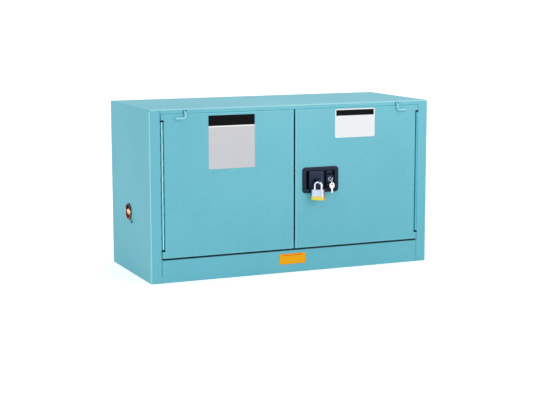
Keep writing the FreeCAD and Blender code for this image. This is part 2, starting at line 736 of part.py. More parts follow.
def door_skin():
    """The outer door pan: face, edge flanges, the stepped centre edge and the lips for the inner pan."""
    edge_back = DOOR_FRONT + CENTRE_EDGE_D
    front = extrude_y(door_outline(0.0), DOOR_FRONT, edge_back)
    front = front.makeFillet(DOOR_CORNER_R, edges_on(front, DOOR_FRONT))
    back = extrude_y(door_outline(0.0, CENTRE_STEP), edge_back - SHEET, DOOR_LIP_BACK)
    hollow_front = extrude_y(door_outline(SHEET), DOOR_IN, edge_back - SHEET)
    hollow_back = extrude_y(door_outline(SHEET, CENTRE_STEP), DOOR_IN, DOOR_LIP_BACK - SHEET)
    mouth = box(PAN_X0 + SHEET, PAN_X1 - SHEET, DOOR_IN, DOOR_LIP_BACK + 1, PAN_Z0 + SHEET, PAN_Z1 - SHEET)
    return join(front, back).cut([hollow_front, hollow_back, mouth])


def door_liner():
    """The inner door pan that reaches into the opening."""
    y0 = DOOR_LIP_BACK
    walls = box(PAN_X0, PAN_X1, y0, PAN_BACK, PAN_Z0, PAN_Z1)
    lip = box(PAN_X0 - PAN_LIP, PAN_X1 + PAN_LIP, y0, y0 + SHEET, PAN_Z0 - PAN_LIP, PAN_Z1 + PAN_LIP)
    inside = box(PAN_X0 + SHEET, PAN_X1 - SHEET, y0 - 1, PAN_FRONT, PAN_Z0 + SHEET, PAN_Z1 - SHEET)
    return join(walls, lip).cut(inside)


def door_stiffener():
    """An upright channel between the two skins of a door."""
    x = (PAN_X0 + PAN_X1) / 2 + STIFFENER_W
    return channel_z(x, x + STIFFENER_W, DOOR_IN, PAN_FRONT, PAN_Z0 + STIFFENER_W / 2, PAN_Z1 - STIFFENER_W / 2)


def handle_cutout(grow, y0, y1):
    """The opening that the handle's cup passes through."""
    half_w = RECESS_W / 2 + CUP_WALL + grow
    half_h = RECESS_H / 2 + CUP_WALL + grow
    return box(HANDLE_X - half_w, HANDLE_X + half_w, y0, y1, HANDLE_Z - half_h, HANDLE_Z + half_h)


def right_door_skin():
    """The right door's outer pan with the opening for the handle."""
    return door_skin().cut(handle_cutout(CUP_FIT, DOOR_FRONT - 1, DOOR_IN + 1))


def right_door_liner():
    """The right door's inner pan with holes for the latch rods and the centre bolt."""
    z = HANDLE_Z + ROCKER_ARM
    half = CENTRE_BOLT_H / 2 + RUN_FIT
    holes = [
        bar(V(TOP_ROD_X, ROD_Y, PAN_Z1 - 5), V(TOP_ROD_X, ROD_Y, PAN_Z1 + 1), LATCH_ROD_R + SLOT_CLEAR),
        bar(V(BOTTOM_ROD_X, ROD_Y, PAN_Z0 - 1), V(BOTTOM_ROD_X, ROD_Y, PAN_Z0 + 5), LATCH_ROD_R + SLOT_CLEAR),
        box(PAN_X0 - 1, PAN_X0 + 5, LINK_Y0 - RUN_FIT, LINK_Y1 + RUN_FIT, z - half, z + half),
    ]
    return door_liner().cut(holes)


# Handle

def handle_housing():
    """The black cup and rim with the raised boss for the lock."""
    rim = round_block(HANDLE_X - RIM_W / 2, HANDLE_X + RIM_W / 2, RIM_FRONT, DOOR_FRONT,
                      HANDLE_Z - RIM_H / 2, HANDLE_Z + RIM_H / 2, RIM_CORNER_R, V(0, 1, 0))
    rim = rim.makeFillet(RIM_EDGE_R, edges_on(rim, RIM_FRONT))
    cup = handle_cutout(0.0, DOOR_FRONT, CUP_BACK)
    recess = box(RECESS_X0, RECESS_X1, RIM_FRONT - 1, RECESS_BACK, RECESS_Z0, RECESS_Z1)
    boss_y = RIM_FRONT + LOCK_BOSS_BACK
    boss = box(LOCK_X - LOCK_BOSS_W / 2, LOCK_X + LOCK_BOSS_W / 2, boss_y, RECESS_BACK,
               HANDLE_Z - LOCK_BOSS_H / 2, HANDLE_Z + LOCK_BOSS_H / 2)
    step = box(LOCK_X - LOCK_BOSS_W / 2, RECESS_X1, RECESS_BACK - RECESS_D / 3, RECESS_BACK, RECESS_Z0, RECESS_Z1)
    housing = join(rim, cup).cut(recess)
    housing = join(housing, boss, step)
    lock_hole = bar(V(LOCK_X, RIM_FRONT - 1, HANDLE_Z), V(LOCK_X, CUP_BACK + 1, HANDLE_Z), LOCK_R - SHEET + RUN_FIT)
    pin_hole = bar(V(PADDLE_PIN_X, PIN_Y, RECESS_Z0 - CUP_WALL), V(PADDLE_PIN_X, PIN_Y, RECESS_Z1 + CUP_WALL),
                   PADDLE_PIN_R + RUN_FIT)
    reach = (CUP_BACK - PIN_Y) * math.tan(math.radians(PADDLE_PULL_ANGLE)) + CRANK_W
    crank_slot = box(PADDLE_PIN_X - reach - 2, PADDLE_PIN_X + CRANK_W / 2 + 1, RECESS_BACK - 1, CUP_BACK + 1,
                     HANDLE_Z - CRANK_H / 2 - 1, HANDLE_Z + CRANK_H / 2 + 1)
    stud = bar(V(ROCKER_X, CUP_BACK - 1, HANDLE_Z), V(ROCKER_X, ROCKER_Y1 + 2, HANDLE_Z), LATCH_PIN_R)
    return join(housing.cut([lock_hole, pin_hole, crank_slot]), stud)


def handle_clamp_frame():
    """The steel frame behind the skin that clamps the handle's rim to the door."""
    grow = CUP_FIT + CLAMP_W
    frame = handle_cutout(grow, DOOR_IN, DOOR_IN + CLAMP_T)
    return frame.cut(handle_cutout(0.0, DOOR_IN - 1, DOOR_IN + CLAMP_T + 1))


def paddle_pin():
    """The upright pin that the paddle turns on."""
    return bar(V(PADDLE_PIN_X, PIN_Y, RECESS_Z0 - CUP_WALL), V(PADDLE_PIN_X, PIN_Y, RECESS_Z1 + CUP_WALL),
               PADDLE_PIN_R)


def paddle():
    """The pull paddle with its barrel, rear crank and the tab for the padlock."""
    z0, z1 = RECESS_Z0 + PADDLE_SIDE_GAP, RECESS_Z1 - PADDLE_SIDE_GAP
    x0, x1 = PADDLE_X0, PADDLE_PIN_X
    y0, y1 = PADDLE_Y, PADDLE_Y + PADDLE_T
    profile = [(x0, y0), (x1 - BARREL_R, y0), (x1 - 1.5, PIN_Y - BARREL_R + 0.5), (x1 - 1.5, PIN_Y),
               (x1 - BARREL_R, y1 + 1), (x0 + PADDLE_T, y1), (x0 + PADDLE_T, y0 + PADDLE_LIP), (x0, y0 + PADDLE_LIP)]
    plate = extrude_z(profile, z0, z1)
    barrel = bar(V(x1, PIN_Y, z0), V(x1, PIN_Y, z1), BARREL_R)
    ribs = [box(x0, x1 - BARREL_R + 1, y0 + 1, y0 + PADDLE_LIP, z, z + PADDLE_T) for z in (z0, z1 - PADDLE_T)]
    crank = box(x1 - CRANK_W / 2, x1 + CRANK_W / 2, PIN_Y, PIN_Y + CRANK_LENGTH,
                HANDLE_Z - CRANK_H / 2, HANDLE_Z + CRANK_H / 2)
    nose_y = CROWN_Y - TAB_EYE_W / 2 - TAB_NOSE
    tab = box(TAB_X - TAB_T / 2, TAB_X + TAB_T / 2, nose_y, y1, eye_z() - TAB_H / 2, eye_z() + TAB_H / 2)
    nose_edges = [edge for edge in edges_along(tab, V(1, 0, 0)) if abs(edge.Vertexes[0].Point.y - nose_y) < 1e-6]
    eye = round_block(TAB_X - TAB_T, TAB_X + TAB_T, CROWN_Y - TAB_EYE_W / 2, CROWN_Y + TAB_EYE_W / 2,
                      eye_z() - TAB_EYE_H / 2, eye_z() + TAB_EYE_H / 2, TAB_EYE_H / 2 - 1, V(1, 0, 0))
    tab = tab.makeFillet(TAB_H / 2 - 2, nose_edges).cut(eye)
    bore = bar(V(x1, PIN_Y, z0 - 1), V(x1, PIN_Y, z1 + 1), PADDLE_PIN_R + RUN_FIT)
    return join(join(plate, barrel, *ribs, crank).cut(bore), tab)


def eye_z():
    """The height of the tab's eye, with the shackle's crown resting low in it."""
    return CROWN_Z - SHACKLE_R - TAB_EYE_FIT + TAB_EYE_H / 2


# Padlock, drawn facing the front and then turned on its crown

def hang(shape):
    """Put a padlock piece under the tab's eye and turn it to its hanging twist."""
    placed = shape.copy()
    placed.translate(V(TAB_X, CROWN_Y, CROWN_Z))
    placed.rotate(V(TAB_X, CROWN_Y, CROWN_Z), V(0, 0, 1), -PADLOCK_TWIST)
    return placed


def case_top():
    """The height of the case's top below the middle of the crown."""
    return -SHACKLE_R - SHACKLE_GAP


def padlock_shackle():
    """The bent shackle with one long and one short leg."""
    r = SHACKLE_MEAN_R
    centre = -r
    long_end = case_top() - LONG_LEG_IN
    short_end = case_top() - SHORT_LEG_IN
    arch = Part.makeTorus(r, SHACKLE_R, V(0, 0, centre), V(0, 1, 0))
    arch = arch.common(box(-CASE_W, CASE_W, -CASE_T, CASE_T, centre, CASE_W))
    legs = [bar(V(-r, 0, long_end), V(-r, 0, centre), SHACKLE_R), bar(V(r, 0, short_end), V(r, 0, centre), SHACKLE_R)]
    return hang(join(arch, *legs))


def padlock_case():
    """The laminated case, grooved between its plates and bored for the shackle's legs."""
    top = case_top()
    body = round_block(-CASE_W / 2, CASE_W / 2, -CASE_T / 2, CASE_T / 2, top - CASE_H, top, CASE_CORNER_R, V(0, 0, 1))
    plate = (CASE_H - BUMPER_H) / CASE_PLATES
    core = round_block(-CASE_W / 2 + CASE_GROOVE, CASE_W / 2 - CASE_GROOVE, -CASE_T / 2 + CASE_GROOVE,
                       CASE_T / 2 - CASE_GROOVE, top - CASE_H, top, CASE_CORNER_R, V(0, 0, 1))
    skin = body.cut(core)
    for i in range(1, CASE_PLATES):
        z = top - i * plate
        body = body.cut(skin.common(box(-CASE_W, CASE_W, -CASE_T, CASE_T, z - CASE_GROOVE / 2, z + CASE_GROOVE / 2)))
    r = SHACKLE_MEAN_R
    bore = SHACKLE_R + SHACKLE_FIT
    holes = [bar(V(x, 0, top - LONG_LEG_IN - 1), V(x, 0, top + 1), bore) for x in (-r, r)]
    keyway = bar(V(0, 0, top - CASE_H - 1), V(0, 0, top - CASE_H + BUMPER_H / 2), PLUG_CORE_R)
    slot = box(-KEYWAY_W / 2, KEYWAY_W / 2, -KEYWAY_H / 2, KEYWAY_H / 2, top - CASE_H - 1, top - CASE_H + BUMPER_H)
    return hang(body.cut(holes + [keyway, slot]))


def padlock_bumper():
    """The plastic bumper moulded round the foot of the case."""
    foot = case_top() - CASE_H
    w, t, e = CASE_W / 2, CASE_T / 2, BUMPER_WALL
    body = round_block(-w - e, w + e, -t - e, t + e, foot - e, foot + BUMPER_H, CASE_CORNER_R + e, V(0, 0, 1))
    inside = round_block(-w, w, -t, t, foot, foot + BUMPER_H + 1, CASE_CORNER_R, V(0, 0, 1))
    return hang(body.cut([inside, bar(V(0, 0, foot - e - 1), V(0, 0, foot + 1), PLUG_CORE_R + 1)]))


# Lock cylinder, keys and ring

def lock_barrel():
    """The fixed barrel of the lock, with a bright flange on the boss."""
    y = RIM_FRONT + LOCK_BOSS_BACK
    barrel = bar(V(LOCK_X, y, HANDLE_Z), V(LOCK_X, y + LOCK_BARREL_L - 3, HANDLE_Z), LOCK_R - SHEET)
    flange = bar(V(LOCK_X, y - LOCK_FLANGE_T, HANDLE_Z), V(LOCK_X, y, HANDLE_Z), LOCK_R)
    flange = flange.makeFillet(0.8, edges_on(flange, y - LOCK_FLANGE_T))
    bore = bar(V(LOCK_X, y - LOCK_FLANGE_T - 1, HANDLE_Z), V(LOCK_X, y + LOCK_BARREL_L, HANDLE_Z), PLUG_CORE_R + RUN_FIT)
    return join(barrel, flange).cut(bore)


def lock_plug():
    """The turning plug with its keyway and the cam on its tail."""
    face = RIM_FRONT + LOCK_BOSS_BACK - LOCK_FLANGE_T
    back = RIM_FRONT + LOCK_BOSS_BACK + LOCK_BARREL_L
    plug = bar(V(LOCK_X, face, HANDLE_Z), V(LOCK_X, back, HANDLE_Z), PLUG_CORE_R)
    keyway = box(LOCK_X - KEYWAY_W / 2, LOCK_X + KEYWAY_W / 2, face - 1, face + KEY_BLADE_L + 2,
                 HANDLE_Z - KEYWAY_H / 2, HANDLE_Z + KEYWAY_H / 2)
    cam = box(LOCK_X - CAM_W / 2, LOCK_X + CAM_W / 2, back - LINK_T, back, HANDLE_Z - CAM_W / 2, HANDLE_Z + CAM_L)
    return join(plug.cut(keyway), cam)


def key_outline():
    """The outline of a key's blade as (distance, height) pairs, with the cuts on its upper edge."""
    top = KEY_BLADE_H / 2
    cuts = (0.5, 1.6, 0.9, 2.0, 1.2, 2.2)
    pitch = KEY_BLADE_L / (len(cuts) + 1)
    points = [(0.0, top)]
    for i, cut in enumerate(cuts):
        points.append((pitch * (i + 0.6), top))
        points.append((pitch * (i + 1.0), top - cut))
    points.append((KEY_BLADE_L - 2, top - 2.2))
    points.append((KEY_BLADE_L, 0.0))
    points.append((KEY_BLADE_L - 2, -top))
    points.append((0.0, -top))
    return points


def flat_key():
    """A key lying in the YZ plane: bow at the origin side, blade along +Y, thickness along X."""
    blade = [V(-KEY_T / 2, y, z) for y, z in key_outline()]
    blade = Part.Face(Part.makePolygon(blade + blade[:1])).extrude(V(KEY_T, 0, 0))
    neck = box(-KEY_T / 2, KEY_T / 2, -KEY_NECK - KEY_BOW_R / 2, 0, -KEY_BLADE_H / 2 - 1, KEY_BLADE_H / 2 + 1)
    bow_y = -KEY_NECK - KEY_BOW_R + 1
    bow = bar(V(-KEY_T / 2, bow_y, 0), V(KEY_T / 2, bow_y, 0), KEY_BOW_R)
    hole_y = bow_y - KEY_BOW_R + KEY_HOLE_R + 2
    hole = bar(V(-KEY_T, hole_y, 0), V(KEY_T, hole_y, 0), KEY_HOLE_R)
    return join(blade, neck, bow).cut(hole)


def key_hole_y():
    """The key's hole, measured from the shoulder of its blade."""
    return -KEY_NECK - KEY_BOW_R + 1 - KEY_BOW_R + KEY_HOLE_R + 2


def key_face():
    """The plane of the plug's face, where the key's shoulder stops."""
    return RIM_FRONT + LOCK_BOSS_BACK - LOCK_FLANGE_T


def key():
    """The key in the lock."""
    shape = flat_key()
    shape.translate(V(LOCK_X, key_face(), HANDLE_Z))
    return shape


def ring_top():
    """The point where the ring hangs in the key's hole."""
    return V(LOCK_X, key_face() + key_hole_y(), HANDLE_Z - KEY_HOLE_R + RING_WIRE_R + RING_CLEAR)


def key_ring():
    """The round ring in the key's hole, turned half way between the two keys."""
    centre = ring_top() - V(0, 0, RING_R)
    ring = Part.makeTorus(RING_R, RING_WIRE_R, V(0, 0, 0), V(0, 1, 0))
    ring.rotate(V(0, 0, 0), V(0, 0, 1), 45)
    ring.translate(centre)
    return ring


def spare_hole():
    """The point where the spare key hangs on the ring."""
    return ring_top() - V(0, 0, 2 * RING_R)


def spare_key():
    """The spare key, hanging bow up with its face to the front."""
    shape = flat_key()
    shape.rotate(V(0, 0, 0), V(0, 0, 1), 90)
    shape.rotate(V(0, 0, 0), V(0, 1, 0), -90)
    hole_drop = KEY_HOLE_R - RING_WIRE_R - RING_CLEAR
    place = spare_hole() - V(0, 0, hole_drop)
    shape.translate(V(place.x, place.y, place.z + key_hole_y()))
    return shape


# Latch train

def drive_link():
    """The plate that the crank pushes and that turns the rocker by its lower arm."""
    low = HANDLE_Z - ROCKER_ARM
    half = ROCKER_ARM_W / 2 + 3
    right = PADDLE_PIN_X + CRANK_W / 2 + 7
    left = PADDLE_PIN_X - CRANK_W / 2 - 7
    top = HANDLE_Z + CRANK_H / 2 + 4
    plate = join(box(left, right, LINK_Y0, LINK_Y1, low - half, top),
                 box(ROCKER_X - half, right, LINK_Y0, LINK_Y1, low - half, low + half))
    slot_half = CRANK_W / 2 + 2.8
    crank_slot = box(PADDLE_PIN_X - slot_half, PADDLE_PIN_X + slot_half, LINK_Y0 - 1, LINK_Y1 + 1,
                     HANDLE_Z - CRANK_H / 2 - 0.5, HANDLE_Z + CRANK_H / 2 + 0.5)
    pin_slot = box(ROCKER_X - LATCH_PIN_R - 0.8, ROCKER_X + LATCH_PIN_R + 0.8, LINK_Y0 - 1, LINK_Y1 + 1,
                   low - LATCH_PIN_R - 0.6, low + half + 1)
    return plate.cut([crank_slot, pin_slot])


def latch_rocker():
    """The four-armed rocker on its stud, with a pin in each arm."""
    z = HANDLE_Z
    half = ROCKER_ARM_W / 2
    y0, y1 = ROCKER_Y0, ROCKER_Y1
    hub = bar(V(ROCKER_X, y0, z), V(ROCKER_X, y1, z), ROCKER_HUB_R)
    upright = box(ROCKER_X - half, ROCKER_X + half, y0, y1, z - ROCKER_ARM - half, z + ROCKER_ARM + half)
    cross = box(ROCKER_X - ROCKER_SIDE_ARM - half, ROCKER_X + ROCKER_SIDE_ARM + half, y0, y1, z - half, z + half)
    pins = []
    for dz in (-ROCKER_ARM, ROCKER_ARM):
        pins.append(bar(V(ROCKER_X, LINK_Y0, z + dz), V(ROCKER_X, y0, z + dz), LATCH_PIN_R))
    for x in (BOTTOM_ROD_X, TOP_ROD_X):
        pins.append(bar(V(x, y1, z), V(x, ROD_Y + LATCH_ROD_R, z), LATCH_PIN_R))
    bore = bar(V(ROCKER_X, y0 - 1, z), V(ROCKER_X, y1 + 1, z), LATCH_PIN_R + RUN_FIT)
    return join(hub, upright, cross, *pins).cut(bore)


def guide_face(way):
    """The height of the guide face that a rod spring bears on: way is 1 for the top rod, -1 for the bottom."""
    return PAN_Z1 - GUIDE_END if way > 0 else PAN_Z0 + GUIDE_END


def latch_rod(x, z_end, way):
    """A round rod with a slotted eye on the rocker's pin, a collar and a bullet end."""
    z_eye = HANDLE_Z
    eye_half = LATCH_PIN_R + 3.6
    y0 = ROD_Y - LATCH_ROD_R
    y1 = y0 + LINK_T
    eye = box(x - eye_half, x + eye_half, y0, y1, z_eye - way * (LATCH_PIN_R + 3), z_eye + way * 14)
    slot = box(x - LATCH_PIN_R - 2.6, x + LATCH_PIN_R + 2.6, y0 - 1, y1 + 1,
               z_eye - LATCH_PIN_R - 0.5, z_eye + LATCH_PIN_R + 0.5)
    tip = z_end - way * LATCH_ROD_R
    shank = bar(V(x, ROD_Y, z_eye + way * 10), V(x, ROD_Y, tip), LATCH_ROD_R)
    bullet = Part.makeSphere(LATCH_ROD_R, V(x, ROD_Y, tip))
    z_collar = guide_face(way) + way * SPRING_L
    collar = bar(V(x, ROD_Y, z_collar), V(x, ROD_Y, z_collar + way * COLLAR_H), COLLAR_R)
    return join(eye.cut(slot), shank, bullet, collar)


def top_latch_rod():
    """The rod that bolts the door to the head."""
    return latch_rod(TOP_ROD_X, CEILING_Z + BOLT_THROW, 1)


def bottom_latch_rod():
    """The rod that bolts the door to the sill."""
    return latch_rod(BOTTOM_ROD_X, SILL_TOP_H - BOLT_THROW, -1)


def rod_guides():
    """The guide blocks on the inner pan that the rods slide in."""
    blocks = []
    for x, way in ((TOP_ROD_X, 1), (BOTTOM_ROD_X, -1)):
        z1 = guide_face(way)
        z0 = z1 - way * GUIDE_H
        block = box(x - GUIDE_HALF, x + GUIDE_HALF, ROD_Y - GUIDE_HALF + 1, PAN_FRONT, z0, z1)
        low, high = min(z0, z1) - 1, max(z0, z1) + 1
        blocks.append(block.cut(bar(V(x, ROD_Y, low), V(x, ROD_Y, high), LATCH_ROD_R + RUN_FIT)))
    return group(blocks)


def rod_spring(x, way):
    """The coil between a guide block and the rod's collar, as one unbroken wire."""
    z = guide_face(way) + way * SPRING_WIRE_R
    length = SPRING_L - 2 * SPRING_WIRE_R
    low = z if way > 0 else z - length
    mean = SPRING_R - SPRING_WIRE_R
    helix = Part.makeHelix(length / SPRING_TURNS, length, mean)
    profile = Part.Wire([Part.Circle(V(mean, 0, 0), V(0, 1, 0), SPRING_WIRE_R).toShape()])
    coil = Part.Wire(helix).makePipeShell([profile], True, True)
    coil.translate(V(x, ROD_Y, low))
    return coil


def centre_bolt():
    """The flat bolt that the rocker's upper arm draws back from the door's edge."""
    z = HANDLE_Z + ROCKER_ARM
    half = CENTRE_BOLT_H / 2
    x0 = PAN_X0 - CENTRE_BOLT_NOSE
    x1 = ROCKER_X + ROCKER_ARM_W
    nose = 3.0
    outline = [(x0, z - half + nose), (x0 + nose, z - half), (x1, z - half), (x1, z + half),
               (x0 + nose, z + half), (x0, z + half - nose)]
    plate = extrude_y(outline, LINK_Y0, LINK_Y1)
    slot = box(ROCKER_X - LATCH_PIN_R - 0.8, ROCKER_X + LATCH_PIN_R + 0.8, LINK_Y0 - 1, LINK_Y1 + 1,
               z - half - 1, z + LATCH_PIN_R + 0.6)
    return plate.cut(slot)


def latch_strikes():
    """The thin wear plates round the two catches."""
    y0, y1 = REBATE_BACK + SHEET, ROD_Y + LATCH_ROD_R + 8
    wide = STRIKE_HALF + 8
    top = box(TOP_ROD_X - wide, TOP_ROD_X + wide, REBATE_BACK, y1, CEILING_Z - STRIKE_T, CEILING_Z)
    top = top.cut(top_bolt_notch())
    z = SILL_TOP_H
    bottom = box(BOTTOM_ROD_X - wide, BOTTOM_ROD_X + wide, y0, y0 + STRIKE_T, z - 2 * BOLT_THROW, z)
    bottom = bottom.cut(box(BOTTOM_ROD_X - STRIKE_HALF, BOTTOM_ROD_X + STRIKE_HALF, y0 - 1, y0 + STRIKE_T + 1,
                            z - BOLT_THROW - 2, z + 1))
    return group([top, bottom])


# Shelf, clips and trays

def shelf():
    """The steel shelf with turned-down edges."""
    z0 = SHELF_Z - SHELF_T - SHELF_LIP
    block = box(-SHELF_HALF, SHELF_HALF, SHELF_FRONT, SHELF_BACK, z0, SHELF_Z)
    under = box(-SHELF_HALF + SHELF_T, SHELF_HALF - SHELF_T, SHELF_FRONT + SHELF_T, SHELF_BACK - SHELF_T,
                z0 - 1, SHELF_Z - SHELF_T)
    return block.cut(under)


def shelf_clips():
    """Four clips hooked into the liner's slots, with the shelf resting on their ledges."""
    clips = []
    z1 = SHELF_Z - SHELF_T - SHELF_LIP
    z0 = z1 - CLIP_T
    for y in (-CLIP_Y, CLIP_Y):
        ledge = box(INSIDE_X - CLIP_REACH, INSIDE_X, y - CLIP_W / 2, y + CLIP_W / 2, z0, z1)
        plate = box(INSIDE_X - CLIP_T, INSIDE_X, y - CLIP_W / 2, y + CLIP_W / 2, z0 - CLIP_TAIL, z1)
        neck = box(INSIDE_X - 1, LINER_X + CLIP_T, y - CLIP_NECK / 2, y + CLIP_NECK / 2, z0 - 2, z1 + 2)
        hook = box(LINER_X, LINER_X + CLIP_T, y - CLIP_NECK / 2, y + CLIP_NECK / 2, z0 - SLOT_H / 2 - 3, z1)
        clip = join(ledge, plate, neck.common(box(0, HALF_W, -HALF_D, HALF_D, z0, z1)), hook)
        clips += [clip, mirrored(clip)]
    return group(clips)


def open_tray(half_x, y0, y1, z, height):
    """A moulded tray with leaning walls, rounded corners and a rim turned out at the top."""
    def rounded(inset_low, inset_high, z0, z1):
        """A leaning block between two levels, as a loft of two rounded outlines."""
        wires = []
        for inset, level in ((inset_low, z0), (inset_high, z1)):
            block = round_block(-half_x + inset, half_x - inset, y0 + inset, y1 - inset,
                                level, level + 1, TRAY_CORNER_R, V(0, 0, 1))
            face = [face for face in block.Faces if abs(face.CenterOfMass.z - level) < 1e-6][0]
            wires.append(face.OuterWire)
        return Part.makeLoft(wires, True, True)

    outer = rounded(TRAY_RIM + TRAY_DRAFT, TRAY_RIM, z, z + height)
    lean = TRAY_DRAFT * TRAY_WALL / height
    inner = rounded(TRAY_RIM + TRAY_DRAFT + TRAY_WALL - lean, TRAY_RIM + TRAY_WALL, z + TRAY_WALL, z + height)
    rim = round_block(-half_x, half_x, y0, y1, z + height - TRAY_WALL, z + height, TRAY_CORNER_R, V(0, 0, 1))
    return join(outer, rim).cut(inner)


def shelf_tray():
    """The plastic tray that lies on the shelf."""
    c = SHELF_TRAY_CLEAR
    return open_tray(SHELF_HALF - c, SHELF_FRONT + c, SHELF_BACK - c, SHELF_Z, SHELF_TRAY_H)


def floor_tray():
    """The plastic tray that lies in the sump."""
    c = FLOOR_TRAY_CLEAR
    return open_tray(INSIDE_X - c, PAN_BACK + FLOOR_TRAY_FRONT, INSIDE_Y - c, FLOOR_Z, FLOOR_TRAY_H)


# Label plates

def left_label():
    """The square-cornered plate high on the left door."""
    return box(LEFT_LABEL_X - LEFT_LABEL_W / 2, LEFT_LABEL_X + LEFT_LABEL_W / 2, DOOR_FRONT - LABEL_T, DOOR_FRONT,
               LEFT_LABEL_Z - LEFT_LABEL_H / 2, LEFT_LABEL_Z + LEFT_LABEL_H / 2)


def right_label():
    """The round-cornered plate high on the right door."""
    return round_block(RIGHT_LABEL_X - RIGHT_LABEL_W / 2, RIGHT_LABEL_X + RIGHT_LABEL_W / 2,
                       DOOR_FRONT - LABEL_T, DOOR_FRONT, RIGHT_LABEL_Z - RIGHT_LABEL_H / 2,
                       RIGHT_LABEL_Z + RIGHT_LABEL_H / 2, RIGHT_LABEL_R, V(0, 1, 0))


def sill_label():
    """The small plate in the middle of the sill rail."""
    return box(SILL_LABEL_X - SILL_LABEL_W / 2, SILL_LABEL_X + SILL_LABEL_W / 2, FRONT - LABEL_T, FRONT,
               SILL_LABEL_Z - SILL_LABEL_H / 2, SILL_LABEL_Z + SILL_LABEL_H / 2)


def case_nodes():
    """The fixed case, its liner and what is fastened to them."""
    return {
        "left_side_panel": side_panel(-1, VENT_LOW_Z),
        "right_side_panel": side_panel(1, VENT_HIGH_Z),
        "top_panel": top_panel(),
        "back_panel": back_panel(),
        "bottom_panel": bottom_panel(),
        "front_sill_rail": sill_rail(),
        "head_jamb": head_jamb(),
        "side_jambs": side_jambs(),
        "liner_sides": liner_sides(),
        "liner_back": liner_back(),
        "liner_top": liner_top(),
        "sump_pan": sump_pan(),
        "liner_spacers": liner_spacers(),
        "shelf_clips": shelf_clips(),
        "vent_bungs": group([vent_bung(side, z) for side, z in vent_places()]),
        "flame_screens": group([flame_screen(side, z) for side, z in vent_places()]),
        "ground_screw": ground_screw(),
        "hinge_frame_leaves": both_sides(frame_leaf()),
        "hinge_pins": both_sides(hinge_pin()),
        "sill_label": sill_label(),
        "latch_strikes": latch_strikes(),
    }


def door_nodes():
    """Both doors with their hinge leaves, stays and labels."""
    return {
        "left_door_skin": mirrored(door_skin()),
        "left_door_liner": mirrored(door_liner()),
        "left_door_stiffener": mirrored(door_stiffener()),
        "left_hinge_leaf": mirrored(door_leaf()),
        "left_stay_arm": mirrored(stay_arm()),
        "left_label": left_label(),
        "right_door_skin": right_door_skin(),
        "right_door_liner": right_door_liner(),
        "right_door_stiffener": door_stiffener(),
        "right_hinge_leaf": door_leaf(),
        "right_stay_arm": stay_arm(),
        "right_label": right_label(),
    }


def latch_nodes():
    """The handle, the latch train, the lock and the padlock."""
    return {
        "handle_housing": handle_housing(),
        "handle_clamp_frame": handle_clamp_frame(),
        "paddle_pin": paddle_pin(),
        "rod_guides": rod_guides(),
        "lock_barrel": lock_barrel(),
        "top_rod_spring": rod_spring(TOP_ROD_X, 1),
        "bottom_rod_spring": rod_spring(BOTTOM_ROD_X, -1),
        "paddle": paddle(),
        "drive_link": drive_link(),
        "latch_rocker": latch_rocker(),
        "top_latch_rod": top_latch_rod(),
        "bottom_latch_rod": bottom_latch_rod(),
        "centre_bolt": centre_bolt(),
        "lock_plug": lock_plug(),
        "key": key(),
        "key_ring": key_ring(),
        "spare_key": spare_key(),
        "padlock_shackle": padlock_shackle(),
        "padlock_case": padlock_case(),
        "padlock_bumper": padlock_bumper(),
    }


def loose_nodes():
    """The pieces that lift out or unscrew."""
    return {
        "shelf": shelf(),
        "shelf_tray": shelf_tray(),
        "floor_tray": floor_tray(),
        "left_plug_seal": plug_seal(-1, VENT_LOW_Z),
        "left_vent_plug": vent_plug(-1, VENT_LOW_Z),
        "right_plug_seal": plug_seal(1, VENT_HIGH_Z),
        "right_vent_plug": vent_plug(1, VENT_HIGH_Z),
    }


def main():
    """Build every node and write it as a STEP file."""
    os.makedirs("parts", exist_ok=True)
    nodes = {**case_nodes(), **door_nodes(), **latch_nodes(), **loose_nodes()}
    for name, shape in nodes.items():
        shape.exportStep("parts/" + name + ".step")
        print(name, "solids", len(shape.Solids), "valid", shape.isValid(), "volume", round(shape.Volume))


main()
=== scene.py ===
"""Looks of a low double-wall safety cabinet: finishes, cast and moulded pieces, studio and camera.

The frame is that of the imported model: +X right seen from the front, +Y to the back, +Z up. Pieces and
patches are measured in millimetres, and tones are sRGB triples in 0 to 255.
"""
from __future__ import annotations

import logging
import math
from dataclasses import dataclass, field, replace
from enum import Enum
from typing import Sequence

import bmesh
import bpy
import numpy as np
from mathutils import Matrix, Vector

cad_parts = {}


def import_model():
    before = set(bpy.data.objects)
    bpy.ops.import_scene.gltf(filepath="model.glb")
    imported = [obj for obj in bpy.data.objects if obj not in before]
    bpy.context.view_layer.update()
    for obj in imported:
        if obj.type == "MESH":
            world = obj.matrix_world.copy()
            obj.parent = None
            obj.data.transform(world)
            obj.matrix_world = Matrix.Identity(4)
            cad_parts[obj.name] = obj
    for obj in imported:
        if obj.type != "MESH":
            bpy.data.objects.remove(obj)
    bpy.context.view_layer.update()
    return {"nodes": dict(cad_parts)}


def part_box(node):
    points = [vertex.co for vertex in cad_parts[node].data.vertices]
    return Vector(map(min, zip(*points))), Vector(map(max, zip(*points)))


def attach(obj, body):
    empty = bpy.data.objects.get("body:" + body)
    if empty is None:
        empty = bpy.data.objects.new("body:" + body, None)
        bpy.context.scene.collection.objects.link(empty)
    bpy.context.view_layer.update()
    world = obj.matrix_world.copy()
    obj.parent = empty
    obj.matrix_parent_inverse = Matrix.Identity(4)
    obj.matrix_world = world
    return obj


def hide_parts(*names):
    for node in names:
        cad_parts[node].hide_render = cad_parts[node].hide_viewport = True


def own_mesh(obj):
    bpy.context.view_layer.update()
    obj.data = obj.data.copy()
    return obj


log = logging.getLogger("cabinet")
MM = 0.001
PIXELS_WIDE = 540
FULL_TURN = 2 * math.pi
CAP_BORDER = 0.97
LEAST_CORNER = 0.05
SHARP_ANGLE = math.radians(32.0)
Pair = tuple[float, float]
Point = tuple[float, float, float]
